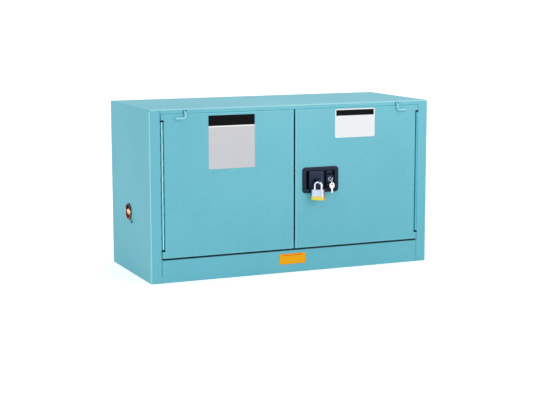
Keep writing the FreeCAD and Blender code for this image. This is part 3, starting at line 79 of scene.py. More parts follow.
Colour = tuple[float, float, float]
Material, Piece = bpy.types.Material, bpy.types.Object
Tree, Node, Socket = bpy.types.NodeTree, bpy.types.Node, bpy.types.NodeSocket


def srgb(tone: Colour) -> tuple[float, ...]:
    """Linear colour, with an alpha of 1, of an sRGB triple in 0 to 255."""
    v = np.array(tone) / 255.0
    return (*np.where(v <= 0.04045, v / 12.92, ((v + 0.055) / 1.055) ** 2.4).tolist(), 1.0)


class Axis(Enum):
    """The axis of the frame that a loft or a turned piece runs along."""
    X = 0
    Y = 1
    Z = 2


# Mesh building

@dataclass
class Surface:
    """A piece put together from closed shells.

    Attributes:
        points, count: vertex arrays of shape (n, 3), in millimetres, and how many vertices they hold.
        faces, marks: vertex indices and material index of each face.
    """
    points: list[np.ndarray] = field(default_factory=list)
    faces: list[list[int]] = field(default_factory=list)
    marks: list[int] = field(default_factory=list)
    count: int = 0

    def grid(self, rows: np.ndarray, closed: bool = False, mark: int = 0) -> Surface:
        """Add a surface whose faces join point (v, u) to (v, u + 1), (v + 1, u + 1) and (v + 1, u).

        Args:
            rows: points of shape (rings, points per ring, 3): u runs round a ring and v over the rings.
            closed: whether the last ring joins the first; otherwise both are capped.
            mark: material index.

        Returns:
            This surface.
        """
        rings, around = rows.shape[:2]
        index = np.arange(rings * around).reshape(rings, around) + self.count
        low = index if closed else index[:-1]
        high = np.roll(index, -1, axis=0) if closed else index[1:]
        quads = np.stack([low, np.roll(low, -1, 1), np.roll(high, -1, 1), high], axis=-1)
        self.points.append(rows.reshape(-1, 3))
        self.faces += quads.reshape(-1, 4).tolist()
        self.count += rings * around
        if not closed:
            self.cap(rows[0], index[0], True)
            self.cap(rows[-1], index[-1], False)
        self.marks += [mark] * (len(self.faces) - len(self.marks))
        return self

    def cap(self, ring: np.ndarray, outer: np.ndarray, flip: bool) -> None:
        """Close a ring of points, whose indices are outer, with a flat border and a fan to its middle."""
        around, middle = len(ring), ring.mean(axis=0)
        inner = np.arange(around) + self.count
        self.points.append(np.vstack([middle + (ring - middle) * CAP_BORDER, middle]))
        rims = [np.stack([a, np.roll(a, -1)], axis=-1) for a in (outer, inner)]
        if flip:
            rims = [rim[:, ::-1] for rim in rims]
        self.faces += np.hstack([rims[0], rims[1][:, ::-1]]).tolist()
        self.faces += np.hstack([rims[1], np.full((around, 1), self.count + around)]).tolist()
        self.count += around + 1

    def block(self, half_w: float, half_h: float, radius: float, low: float, high: float, centre: Pair,
              edge: float, edge_low: float | None = None, corner: int = 5, axis: Axis = Axis.Y,
              mark: int = 0) -> Surface:
        """Add the rounded plate that slab describes, with so many points to a corner."""
        rings = slab(half_w, half_h, radius, low, high, centre, edge, edge_low)
        return self.grid(loft(rings, axis, corner), mark=mark)

    def to_object(self, name: str, materials: Sequence[Material]) -> Piece:
        """Make the mesh object, in metres, with its materials in the order of the face marks."""
        mesh = bpy.data.meshes.new(name)
        mesh.from_pydata((np.vstack(self.points) * MM).tolist(), [], self.faces)
        mesh.polygons.foreach_set("material_index", np.array(self.marks, np.int32))
        for material in materials:
            mesh.materials.append(material)
        outwards(mesh)
        mesh.polygons.foreach_set("use_smooth", np.ones(len(mesh.polygons), bool))
        mesh.set_sharp_from_angle(angle=SHARP_ANGLE)
        return linked(name, mesh)


def linked(name: str, data: bpy.types.ID) -> Piece:
    """A new object of some data, in the scene."""
    obj = bpy.data.objects.new(name, data)
    bpy.context.scene.collection.objects.link(obj)
    return obj


def outwards(mesh: bpy.types.Mesh) -> None:
    """Recalculate the normals of closed shells so that they point outwards, and drop flat faces."""
    work = bmesh.new()
    work.from_mesh(mesh)
    bmesh.ops.remove_doubles(work, verts=work.verts, dist=1e-6)
    bmesh.ops.dissolve_degenerate(work, edges=work.edges, dist=1e-7)
    bmesh.ops.recalc_face_normals(work, faces=work.faces)
    work.to_mesh(mesh)
    work.free()


@dataclass(frozen=True)
class Ring:
    """One rounded rectangle of a loft: half sizes, corner radius, level along the loft and centre."""
    half_w: float
    half_h: float
    radius: float
    level: float = 0.0
    centre: Pair = (0.0, 0.0)

    def at(self, level: float, grow: float = 0.0, corner: float | None = None) -> Ring:
        """The outline at a level, grown all round; the corner grows with it unless its radius is given."""
        radius = max(self.radius + grow, LEAST_CORNER) if corner is None else corner
        return Ring(self.half_w + grow, self.half_h + grow, radius, level, self.centre)

    def points(self, per_corner: int) -> np.ndarray:
        """Points of the outline, quarter circle by quarter circle, as (u, v) pairs."""
        r = min(self.radius, self.half_w, self.half_h)
        angles = np.linspace(0.0, math.pi / 2, per_corner)
        a = np.concatenate([angles + k * math.pi / 2 for k in range(4)])
        signs = np.repeat([(1, 1), (-1, 1), (-1, -1), (1, -1)], per_corner, axis=0)
        middles = signs * (self.half_w - r, self.half_h - r)
        return middles + r * np.stack([np.cos(a), np.sin(a)], axis=1) + self.centre


def place(flat: np.ndarray, level: float, axis: Axis) -> np.ndarray:
    """Lift (u, v) pairs to a level along an axis; the pair takes the two other axes in order."""
    return np.insert(flat, axis.value, level, axis=1)


def loft(rings: Sequence[Ring], axis: Axis = Axis.Y, per_corner: int = 9) -> np.ndarray:
    """Rows of points through rounded rectangles that follow each other along an axis."""
    return np.stack([place(ring.points(per_corner), ring.level, axis) for ring in rings])


def quarter(steps: int, sweep: float = math.pi / 2) -> list[Pair]:
    """Pairs (1 - sin a, 1 - cos a) along a rounded rim, for angles a from 0 to the sweep."""
    return [(1 - math.sin(a), 1 - math.cos(a)) for a in np.linspace(0, sweep, steps)]


def slab(half_w: float, half_h: float, radius: float, low: float, high: float, centre: Pair, edge: float,
         edge_low: float | None = None, steps: int = 4) -> list[Ring]:
    """Rings of a rounded plate whose two rims are quarter circles.

    A rim point at angle a is set in by edge * (1 - sin a) and back by edge * (1 - cos a).
    """
    outline, arc = Ring(half_w, half_h, radius, centre=centre), quarter(steps)
    first = edge if edge_low is None else edge_low
    return ([outline.at(low + first * back, -first * inset) for inset, back in arc]
            + [outline.at(high - edge * back, -edge * inset) for inset, back in arc[::-1]])


def washer(outer: Ring, hole: Ring, low: float, high: float, edge: float) -> list[Ring]:
    """Rings of a plate with a hole and bevelled rims: out along the outline and back along the hole."""
    bevels = ((edge, low), (0.0, low + edge), (0.0, high - edge), (edge, high))
    return ([outer.at(level, -inset) for inset, level in bevels]
            + [hole.at(level, inset) for inset, level in bevels[::-1]])


def lathe(profile: Sequence[Pair], axis: Axis, centre: Pair, around: int = 64) -> np.ndarray:
    """Rows of points of a turned shape.

    A profile point (radius, level) gives the circle centre + radius * (cos t, sin t) at that level.
    """
    t = np.linspace(0, FULL_TURN, around, endpoint=False)
    circle = np.stack([np.cos(t), np.sin(t)], axis=1)
    return np.stack([place(circle * radius + np.array(centre), level, axis) for radius, level in profile])


def tube(path: np.ndarray, radius: float, around: int) -> np.ndarray:
    """Rows of points of a round bar along a path.

    Each ring is path + radius * (n cos t + b sin t), with n and b carried along the path by
    turning them with its direction.
    """
    way = np.gradient(path, axis=0)
    way /= np.linalg.norm(way, axis=1, keepdims=True)
    normal = np.cross(way[0], [0.3, 0.5, 0.8])
    normals = []
    for direction in way:
        normal = normal - direction * np.dot(normal, direction)
        normal = normal / np.linalg.norm(normal)
        normals.append(normal)
    n = np.array(normals)[:, None, :]
    b = np.cross(way, n[:, 0])[:, None, :]
    t = np.linspace(0, FULL_TURN, around, endpoint=False)[None, :, None]
    return path[:, None, :] + radius * (n * np.cos(t) + b * np.sin(t))


def node_box(node: str) -> tuple[np.ndarray, np.ndarray]:
    """Lowest and highest corner of a node at rest, in millimetres."""
    low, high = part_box(node)
    return np.array(low) / MM, np.array(high) / MM


def node_middle(node: str) -> list[float]:
    """Middle of a node's box, in millimetres."""
    low, high = node_box(node)
    return ((low + high) / 2).tolist()


# Shading

@dataclass
class Graph:
    """Short ways to add nodes to a node tree and to feed their inputs."""
    tree: Tree

    def feed(self, node: Node, values: dict[str | int, object]) -> Node:
        """Feed inputs of a node: a socket is linked, and a number or colour is set on the input itself."""
        for label, value in values.items():
            if isinstance(value, Socket):
                self.tree.links.new(value, node.inputs[label])
            else:
                node.inputs[label].default_value = value
        return node

    def add(self, kind: str, values: dict[str | int, object], **settings: object) -> Node:
        """Add a node of a kind, named without the common prefix, set its properties and feed its inputs."""
        node = self.tree.nodes.new("ShaderNode" + kind)
        for name, value in settings.items():
            setattr(node, name, value)
        return self.feed(node, values)

    def maths(self, operation: str, first: object, second: object = 0.0, clamp: bool = False) -> Socket:
        """A maths node on two sockets or numbers."""
        return self.add("Math", {0: first, 1: second}, operation=operation, use_clamp=clamp).outputs[0]

    def mix(self, factor: Socket, first: object, second: object, kind: str = "RGBA") -> Socket:
        """The first value where the factor is 0 and the second where it is 1."""
        values = {"Factor": factor, "A": first, "B": second}
        return self.add("Mix", values, data_type=kind).outputs["Result"]

    def span(self, value: Socket, low: float, high: float) -> Socket:
        """The value stretched so that low gives 0 and high gives 1."""
        values = {"Value": value, "From Min": low, "From Max": high}
        return self.add("MapRange", values).outputs["Result"]

    def bump(self, height: Socket, distance: float) -> Socket:
        """A normal bent by a height over a distance in metres."""
        values = {"Height": height, "Distance": distance, "Strength": 1.0}
        return self.add("Bump", values).outputs["Normal"]

    def coordinates(self) -> Socket:
        """Object coordinates."""
        return self.add("TexCoord", {}).outputs["Object"]

    def noise(self, scale: object, detail: float, rough: float, stretch: Point = (1, 1, 1)) -> Socket:
        """A noise value on object coordinates, stretched along the axes."""
        where = self.add("Mapping", {"Vector": self.coordinates(), "Scale": stretch}).outputs["Vector"]
        values = {"Vector": where, "Scale": scale, "Detail": detail, "Roughness": rough}
        return self.add("TexNoise", values).outputs["Fac"]

    def wander(self, value: Socket, given: bpy.types.NodeOutputs) -> Socket:
        """Roughness that wanders about the given gloss, by its spread, with a noise value."""
        spread = self.maths("MULTIPLY", self.maths("SUBTRACT", value, 0.5), given["Gloss Spread"])
        return self.maths("ADD", given["Gloss"], spread, clamp=True)


def new_group(name: str, inputs: dict[str, float | tuple[float, ...]], *outputs: str) -> tuple:
    """Start a shader node group.

    Args:
        name: group name.
        inputs: socket name to default, a number or a linear colour.
        *outputs: socket names; Color is a colour and the others are numbers.

    Returns:
        The group's graph, the sockets that it is given and its output node.
    """
    group = bpy.data.node_groups.new(name, "ShaderNodeTree")
    add = group.interface.new_socket
    for label, default in inputs.items():
        kind = "Color" if isinstance(default, tuple) else "Float"
        add(name=label, in_out="INPUT", socket_type="NodeSocket" + kind).default_value = default
    for label in outputs:
        kind = "Color" if label == "Color" else "Float"
        add(name=label, in_out="OUTPUT", socket_type="NodeSocket" + kind)
    return Graph(group), group.nodes.new("NodeGroupInput").outputs, group.nodes.new("NodeGroupOutput")


def mottle_group() -> Tree:
    """Slow variation of colour and gloss: a slow and a fine noise shift a colour between two tones."""
    graph, given, out = new_group(
        "tone_variation", {"Tone": (0.5, 0.5, 0.5, 1.0), "Second Tone": (0.4, 0.4, 0.4, 1.0), "Scale": 6.0,
                           "Gloss": 0.4, "Gloss Spread": 0.1}, "Color", "Roughness")
    fine_scale = graph.maths("MULTIPLY", given["Scale"], 80.0)
    halves = [graph.maths("MULTIPLY", noise, 0.5) for noise in
              (graph.noise(given["Scale"], 3.0, 0.55), graph.noise(fine_scale, 2.0, 0.6))]
    both = graph.maths("ADD", *halves)
    colour = graph.mix(graph.span(both, 0.38, 0.62), given["Tone"], given["Second Tone"])
    graph.feed(out, {"Color": colour, "Roughness": graph.wander(both, given)})
    return graph.tree


def grain_group() -> Tree:
    """Fine relief of a coating or a moulded face: a height from a fine noise and a coarser swell."""
    graph, given, out = new_group("fine_relief", {"Scale": 900.0, "Swell": 0.3}, "Height")
    coarse = graph.noise(graph.maths("MULTIPLY", given["Scale"], 0.22), 2.0, 0.5)
    swell = graph.maths("MULTIPLY", coarse, given["Swell"])
    graph.feed(out, {"Height": graph.maths("ADD", graph.noise(given["Scale"], 2.0, 0.5), swell)})
    return graph.tree


def brushed_group(name: str, stretch: Point) -> Tree:
    """Drawn or ground metal: streaks of noise squeezed across the grain, as height and gloss."""
    graph, given, out = new_group(name, {"Scale": 60.0, "Gloss": 0.3, "Gloss Spread": 0.2},
                                  "Height", "Roughness")
    streak = graph.noise(given["Scale"], 4.0, 0.65, stretch)
    graph.feed(out, {"Height": streak, "Roughness": graph.wander(streak, given)})
    return graph.tree


def box_mask_group() -> Tree:
    """Mask of an upright box in object coordinates.

    Along each axis the two ramps (place - low) / Edge and (high - place) / Edge are held between 0 and 1,
    and the mask is the product of all six.
    """
    limits = {f"{end} {axis}": 0.0 for axis in "XYZ" for end in ("Low", "High")}
    graph, given, out = new_group("box_mask", {**limits, "Edge": 0.0003, "Amount": 1.0}, "Mask")
    where = graph.add("SeparateXYZ", {0: graph.coordinates()}).outputs
    mask = given["Amount"]
    for axis in "XYZ":
        for first, second in ((where[axis], given["Low " + axis]), (given["High " + axis], where[axis])):
            gap = graph.maths("SUBTRACT", first, second)
            mask = graph.maths("MULTIPLY", mask, graph.maths("DIVIDE", gap, given["Edge"], clamp=True))
    graph.feed(out, {"Mask": mask})
    return graph.tree


GROUPS: dict[str, Tree] = {}


def shared_groups() -> None:
    """Build each shader group once."""
    GROUPS.update(mottle=mottle_group(), grain=grain_group(), box_mask=box_mask_group(),
                  brushed_x=brushed_group("grain_along_x", (0.06, 1.0, 1.0)),
                  brushed_z=brushed_group("grain_along_z", (1.0, 1.0, 0.06)))


def new_material(name: str) -> tuple[Material, Graph, Node]:
    """A new material with its graph and its shader."""
    material = bpy.data.materials.new(name)
    material.use_nodes = True
    return material, Graph(material.node_tree), material.node_tree.nodes["Principled BSDF"]


# Finishes

@dataclass(frozen=True)
class Patch:
    """A box of the surface that takes another tone: a painted shade, a painted highlight on a bend or edge, or
    a printed band.

    Attributes:
        x, y, z: lowest and highest place along each axis.
        tone, amount: the tone inside the box, and how much of it covers the tone below.
        edge: width over which it fades in.
    """
    x: Pair
    y: Pair
    z: Pair
    tone: Colour
    amount: float = 1.0
    edge: float = 0.3

    def paint(self, graph: Graph, under: Socket) -> Socket:
        """Lay the patch over the colour so far, and give the colour with the patch on it."""
        values = {"Edge": self.edge * MM, "Amount": self.amount}
        for axis, span in zip("XYZ", (self.x, self.y, self.z)):
            values |= {"Low " + axis: span[0] * MM, "High " + axis: span[1] * MM}
        mask = graph.add("Group", values, node_tree=GROUPS["box_mask"])
        return graph.mix(mask.outputs["Mask"], under, srgb(self.tone))


@dataclass(frozen=True)
class Finish:
    """A surface finish.

    Attributes:
        tone, second, scale: base tone, the tone that it drifts to, and the scale of the drift.
        gloss, gloss_spread: roughness, and how far it wanders.
        relief, relief_scale: height of the fine relief in millimetres, and its scale.
        metal, coat, specular: metallic value, weight of the clear coat, and specular level.
        brushed: name of the brushed group, or empty.
        patches: boxes of another tone.
    """
    name: str
    tone: Colour
    second: Colour
    scale: float
    gloss: float
    gloss_spread: float
    relief: float
    relief_scale: float
    metal: float = 0.0
    coat: float = 0.0
    specular: float = 0.5
    brushed: str = ""
    patches: tuple[Patch, ...] = ()

    def build(self) -> Material:
        """Make the material."""
        material, graph, shader = new_material(self.name)
        wear = {"Gloss": self.gloss, "Gloss Spread": self.gloss_spread}
        drift = {"Tone": srgb(self.tone), "Second Tone": srgb(self.second), "Scale": self.scale}
        tone = graph.add("Group", {**drift, **wear}, node_tree=GROUPS["mottle"])
        relief = graph.add("Group", {"Scale": self.relief_scale, **(wear if self.brushed else {})},
                           node_tree=GROUPS[self.brushed or "grain"])
        colour = tone.outputs["Color"]
        for patch in self.patches:
            colour = patch.paint(graph, colour)
        graph.feed(shader, {"Base Color": colour,
                            "Roughness": (relief if self.brushed else tone).outputs["Roughness"],
                            "Metallic": self.metal, "Specular IOR Level": self.specular,
                            "Coat Weight": self.coat, "Coat Roughness": 0.15,
                            "Normal": graph.bump(relief.outputs["Height"], self.relief * MM)})
        return material


# Light tone along the rounded front bends of the case: a painted highlight.
BEND_HIGHLIGHT = (176, 228, 235)
# Light tone along the bent edges of the doors beside the gaps: a painted highlight.
DOOR_EDGE_HIGHLIGHT = (140, 208, 220)
JOINT_SHADE = (10, 170, 192)
# Pale teal in the right seam and the top door gap: painted light where the gap shades them.
PAINTED_SEAM_LIGHT = (96, 226, 240)
# Near-black at the ends of the hinge notches and knuckles: painted shade where the open notch is dark.
PAINTED_HOLE_SHADE = (6, 14, 18)
GAP_SHADE = (6, 74, 86)
STILE_FACE = (-229, -225)
DOOR_FACE = (-232, -230)
SEAM_DEPTH = (-228.2, -221)
NOTCH_DEPTH = (-230.6, -221)
GAP_DEPTH = (-230.4, -212)
HINGE_DEPTH = (-240, -190)
PLUG_SPAN = (-20, 60)
# Box of the padlock's right side, which the plate and bumper patches paint darker: painted shade.
PADLOCK_SHADE_X = (92.6, 140)
PADLOCK_SHADE_Y = (-300, -200)
# Patches of the case and doors, all painted light and shade: painted highlights on the front bends and door
# edges, painted shade and painted light in the stile seams, hinge notches and door gaps, and near-black painted
# shade at the notch ends.
CASE_LIGHT_AND_SHADE: tuple[Patch, ...] = (
    Patch((-546.5, -542.6), STILE_FACE, (2, 604.6), BEND_HIGHLIGHT, 0.9, 0.8),
    Patch((542.6, 546.5), STILE_FACE, (2, 604.6), BEND_HIGHLIGHT, 0.4, 0.8),
    Patch((-543, 546), (-229, -222.5), (606.2, 611), BEND_HIGHLIGHT, 0.7, 0.8),
    Patch((-8, -3.6), DOOR_FACE, (90, 592), DOOR_EDGE_HIGHLIGHT, 0.7, 0.8),
    Patch((3.6, 8), DOOR_FACE, (90, 592), DOOR_EDGE_HIGHLIGHT, 0.8, 0.8),
    Patch((-500, 500), DOOR_FACE, (88, 92), DOOR_EDGE_HIGHLIGHT, 0.35, 0.8),
    Patch((-503, 503), DOOR_FACE, (589, 594), DOOR_EDGE_HIGHLIGHT, 0.3, 0.8),
    Patch((-508, -490), SEAM_DEPTH, (-1, 604), JOINT_SHADE, 1, 0.4),
    Patch((-505.2, -493), NOTCH_DEPTH, (110, 575), JOINT_SHADE, 1, 0.4),
    Patch((490, 508), SEAM_DEPTH, (-1, 604), PAINTED_SEAM_LIGHT, 1, 0.4),
    Patch((493.4, 498.6), (-230.6, -216), (112, 574), (14, 160, 178)),
    Patch((-503, 503), NOTCH_DEPTH, (592.6, 595.6), PAINTED_SEAM_LIGHT),
    Patch((-504, 504), (-230.2, -212), (80, 88), GAP_SHADE, 1, 0.4),
    Patch((-3.4, 3.4), GAP_DEPTH, (84, 594), JOINT_SHADE),
    Patch((-3.4, 3.4), GAP_DEPTH, (116, 566), GAP_SHADE, 1, 0.6),
    *(Patch((side, side + 15), (-229.6, -214), (foot, foot + 7.5), PAINTED_HOLE_SHADE, 1, 0.5)
      for side in (-508, 494) for foot in (110, 566)),
)
# On the hinge leaves: a painted highlight along the left knuckle, a lighter painted band on the right hinge,
# and near-black painted shade at the knuckle ends.
HINGE_LIGHT_AND_SHADE: tuple[Patch, ...] = (
    Patch((-502.4, -496.6), HINGE_DEPTH, (60, 600), (200, 246, 252), 1, 0.5),
    Patch((500.6, 520), HINGE_DEPTH, (60, 600), (120, 216, 230), 1, 0.8),
    Patch((-520, 520), HINGE_DEPTH, (60, 117), PAINTED_HOLE_SHADE, 0.95, 0.5),
    Patch((-520, 520), HINGE_DEPTH, (567.5, 600), PAINTED_HOLE_SHADE, 0.95, 0.5),
)
# On the vent plug's rim: painted shade on its upper part and a painted highlight on the band below.
RIM_SHADE_AND_HIGHLIGHT: tuple[Patch, ...] = (
    Patch((-560, -540), PLUG_SPAN, (231, 262), (92, 36, 24), 0.9, 3),
    Patch((-560, -540), PLUG_SPAN, (214, 231), (250, 226, 178), 0.8, 2),
)

FINISHES: dict[str, Finish] = {finish.name: finish for finish in (
    Finish("powder_coat", (106, 193, 210), (97, 184, 201), 2.2, 0.5, 0.08, 0.035, 420, specular=0.3,
           patches=CASE_LIGHT_AND_SHADE),
    Finish("liner_coat", (102, 184, 200), (98, 180, 196), 2.6, 0.5, 0.1, 0.035, 420, specular=0.3),
    # The hinge leaves are body paint; their darker, stronger teal is painted shade of the seam they sit in.
    Finish("hinge_shaded_coat", (30, 168, 190), (26, 162, 184), 6, 0.28, 0.08, 0.01, 500, coat=0.3,
           patches=HINGE_LIGHT_AND_SHADE),
    # The stay rods are body paint; their lighter tone is painted light.
    Finish("rod_lit_coat", (140, 214, 226), (132, 208, 220), 6, 0.4, 0.1, 0.01, 500, specular=0.4),
    # The ground screw is body paint; its darker tone is painted shade.
    Finish("screw_shaded_coat", (84, 158, 172), (70, 142, 156), 30, 0.3, 0.1, 0.02, 600, coat=0.3),
    Finish("zinc_plate", (186, 189, 190), (170, 174, 178), 40, 0.34, 0.18, 0.01, 220, 1, brushed="brushed_z"),
    Finish("spring_wire", (172, 174, 178), (150, 152, 156), 60, 0.28, 0.1, 0.005, 1200, 1),
    Finish("dark_casting", (78, 52, 40), (58, 38, 30), 30, 0.5, 0.2, 0.08, 700, 0.6),
    # Very dark tone of the plug's side wall: painted shade.
    Finish("plug_side_shade", (44, 24, 18), (30, 16, 12), 40, 0.5, 0.2, 0.05, 600, 0.2, specular=0.3),
    Finish("plug_rim", (206, 142, 106), (160, 98, 66), 26, 0.34, 0.2, 0.04, 520, 0.6, patches=RIM_SHADE_AND_HIGHLIGHT),
    # The upper part of the cup is painted darker: painted shade of the recess.
    Finish("plug_cup", (120, 52, 36), (96, 38, 26), 34, 0.55, 0.2, 0.08, 520, 0.2, specular=0.25,
           patches=(Patch((-560, -530), PLUG_SPAN, (222, 262), (52, 16, 12), 0.85, 4),)),
    Finish("plug_grip", (255, 224, 184), (244, 190, 142), 42, 0.26, 0.16, 0.03, 420, 0.9),
    Finish("black_mould", (30, 41, 63), (27, 38, 59), 30, 0.48, 0.12, 0.03, 1300, specular=0.1),
    # The near-white patch on the front of the padlock tab, round its eye, is a painted highlight.
    Finish("paddle_mould", (32, 45, 74), (28, 40, 68), 30, 0.46, 0.12, 0.03, 1300, specular=0.11,
           patches=(Patch((70, 94), (-290, -263.6), (323, 331), (206, 212, 230)),)),
    # Lighter copy of the paddle's mould for two strips on it: a painted highlight.
    Finish("edge_highlight_mould", (64, 84, 110), (58, 78, 104), 30, 0.34, 0.1, 0.02, 1300, specular=0.3),
    # Near-black copy of the black mould for the inside of the handle cup: painted shade of the recess.
    Finish("recess_shade_mould", (9, 10, 15), (7, 8, 12), 30, 0.7, 0.1, 0.03, 1300, specular=0.1),
    Finish("natural_mould", (226, 224, 214), (214, 211, 200), 30, 0.45, 0.1, 0.02, 900),
    Finish("tray_mould", (44, 46, 49), (38, 40, 43), 14, 0.55, 0.14, 0.05, 700),
    Finish("polished_chrome", (240, 242, 246), (226, 229, 236), 30, 0.16, 0.08, 0.002, 600, 1),
    Finish("core_steel", (164, 170, 192), (140, 146, 168), 80, 0.3, 0.1, 0.004, 800, 0.9),
    # Darker copy of the nickel for the key in the lock: painted shade.
    Finish("shaded_nickel", (150, 154, 168), (120, 124, 138), 60, 0.34, 0.12, 0.008, 900, 0.7),
    Finish("nickel", (252, 251, 247), (238, 236, 228), 60, 0.24, 0.12, 0.008, 900, 0.9),
    # The patches on the padlock's plates and bumper darken their right sides: painted shade.
    Finish("plate_steel", (214, 224, 244), (198, 208, 230), 50, 0.36, 0.16, 0.012, 300, 0.7,
           brushed="brushed_x", patches=(Patch(PADLOCK_SHADE_X, PADLOCK_SHADE_Y, (270, 320), (188, 150, 112)),)),
    Finish("yellow_bumper", (255, 230, 92), (255, 222, 78), 40, 0.4, 0.1, 0.02, 1000,
           patches=(Patch(PADLOCK_SHADE_X, PADLOCK_SHADE_Y, (240, 290), (255, 160, 8)),)),
    Finish("seal_rubber", (40, 40, 41), (32, 32, 33), 40, 0.8, 0.1, 0.04, 900),
    Finish("grey_plate", (214, 214, 218), (209, 209, 214), 8, 0.5, 0.06, 0.006, 700, specular=0.04),
    Finish("white_plate", (246, 248, 250), (241, 244, 247), 8, 0.5, 0.06, 0.006, 700, specular=0.04),
    Finish("orange_plate", (255, 160, 10), (254, 154, 8), 10, 0.5, 0.06, 0.006, 700, specular=0.04),
)}

WEARERS: dict[str, str] = {
    "powder_coat": "left_side_panel right_side_panel top_panel back_panel bottom_panel front_sill_rail "
                   "head_jamb side_jambs left_door_skin right_door_skin",
    "liner_coat": "liner_sides liner_back liner_top sump_pan left_door_liner right_door_liner shelf",
    "rod_lit_coat": "left_stay_arm right_stay_arm",
    "hinge_shaded_coat": "hinge_frame_leaves left_hinge_leaf right_hinge_leaf",
    "zinc_plate": "liner_spacers shelf_clips hinge_pins latch_strikes left_door_stiffener "
                  "right_door_stiffener handle_clamp_frame paddle_pin drive_link latch_rocker "
                  "top_latch_rod bottom_latch_rod centre_bolt",
    "spring_wire": "top_rod_spring bottom_rod_spring",
    "tray_mould": "shelf_tray floor_tray",
    "polished_chrome": "lock_barrel padlock_shackle",
    "nickel": "key key_ring spare_key",
    "seal_rubber": "left_plug_seal right_plug_seal",
    "dark_casting": "vent_bungs",
    "screen_cloth": "flame_screens",
    "orange_plate": "sill_label",
    "grey_plate": "left_label",
    "white_plate": "right_label",
    "core_steel": "lock_plug",
    "screw_shaded_coat": "ground_screw",
    "black_mould": "handle_housing",
    "paddle_mould": "paddle",
    "natural_mould": "rod_guides",
    "plate_steel": "padlock_case",
    "yellow_bumper": "padlock_bumper",
    "plug_rim": "left_vent_plug right_vent_plug",
}
NODE_FINISH: dict[str, str] = {node: finish for finish, nodes in WEARERS.items() for node in nodes.split()}


@dataclass(frozen=True)
class WireCloth:
    """Fine woven wire: two sets of waves across each other give the height and the dark holes."""
    name: str = "screen_cloth"
    wire: Colour = (196, 160, 92)
    hole: Colour = (24, 20, 16)
    pitch: float = 1.1
    wire_height: float = 0.3

    def build(self) -> Material:
        """Make the material."""
        material, graph, shader = new_material(self.name)
        where = graph.add("SeparateXYZ", {0: graph.coordinates()}).outputs
        turns = [graph.maths("MULTIPLY", where[axis], FULL_TURN / (self.pitch * MM)) for axis in "YZ"]
        height = graph.maths("MAXIMUM", *(graph.maths("ABSOLUTE", graph.maths("SINE", t)) for t in turns))
        colour = graph.mix(graph.span(height, 0.55, 0.8), srgb(self.hole), srgb(self.wire))
        graph.feed(shader, {"Base Color": colour, "Metallic": 0.9, "Roughness": 0.4,
                            "Normal": graph.bump(height, self.wire_height * MM)})
        return material


@dataclass(frozen=True)
class Band:
    """A printed band of a label plate, by its distances from the plate's sides and upper edge.

    Without a height it leaves the inset free below it as well.
    """
    inset: float
    top: float
    height: float | None
    tone: Colour

    def on(self, node: str) -> Patch:
        """The patch that prints the band on a node, by the node's own box in the frame."""
        low, high = node_box(node)
        upper = high[2] - self.top
        lower = low[2] + self.inset if self.height is None else upper - self.height
        return Patch((low[0] + self.inset, high[0] - self.inset), (low[1] - PAST, high[1] + PAST),
                     (lower, upper), self.tone)


PAST = 5.0
LABELS: dict[str, tuple[Band, ...]] = {
    "left_label": (Band(-PAST, -PAST, 37.0 + PAST, (3, 2, 2)), Band(-PAST, 37.0, 4.4, (252, 253, 255))),
    "right_label": (Band(4.4, 4.0, 21.0, (5, 6, 7)),),
    "sill_label": (Band(3.4, 3.4, None, (255, 178, 22)), Band(14.0, 4.2, 3.6, (244, 116, 14))),
}


def label_material(node: str) -> Material:
    """Material of a label plate: its paper with the bands on it."""
    bands = tuple(band.on(node) for band in LABELS[node])
    return replace(FINISHES[NODE_FINISH[node]], name=node + "_print", patches=bands).build()


@dataclass
class Workshop:
    """Makes each finish once and hands the finished pieces over."""
    made: dict[str, Material] = field(default_factory=dict)

    def finish(self, name: str) -> Material:
        """The material of a finish, made when it is first asked for."""
        if name not in self.made:
            self.made[name] = (WireCloth() if name == WireCloth.name else FINISHES[name]).build()
        return self.made[name]

    def dress(self, nodes: dict[str, Piece]) -> None:
        """Give every carried-over node, as the frame names them, its finish."""
        for name, obj in nodes.items():
            material = label_material(name) if name in LABELS else self.finish(NODE_FINISH[name])
            for slot in obj.material_slots:
                slot.material = material
            log.info("dressed %s in %s", name, NODE_FINISH[name])

    def make(self, name: str, shape: Surface, body: str, slot: str, node: str, *finishes: str) -> Piece:
        """Make a piece that stands for a node.

        Args:
            name, shape: name and surface of the piece.
            body, slot, node: the body that it rides on, a slot name that is not used, and the node that it
                stands for.
            *finishes: names of its finishes, in the order of the face marks.

        Returns:
            The object.
        """
        obj = shape.to_object(name, [self.finish(each) for each in finishes])
        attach(obj, body)
        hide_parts(node)
        log.info("%s rides on %s", name, body)
        return obj


SHACKLE_R = 3.5


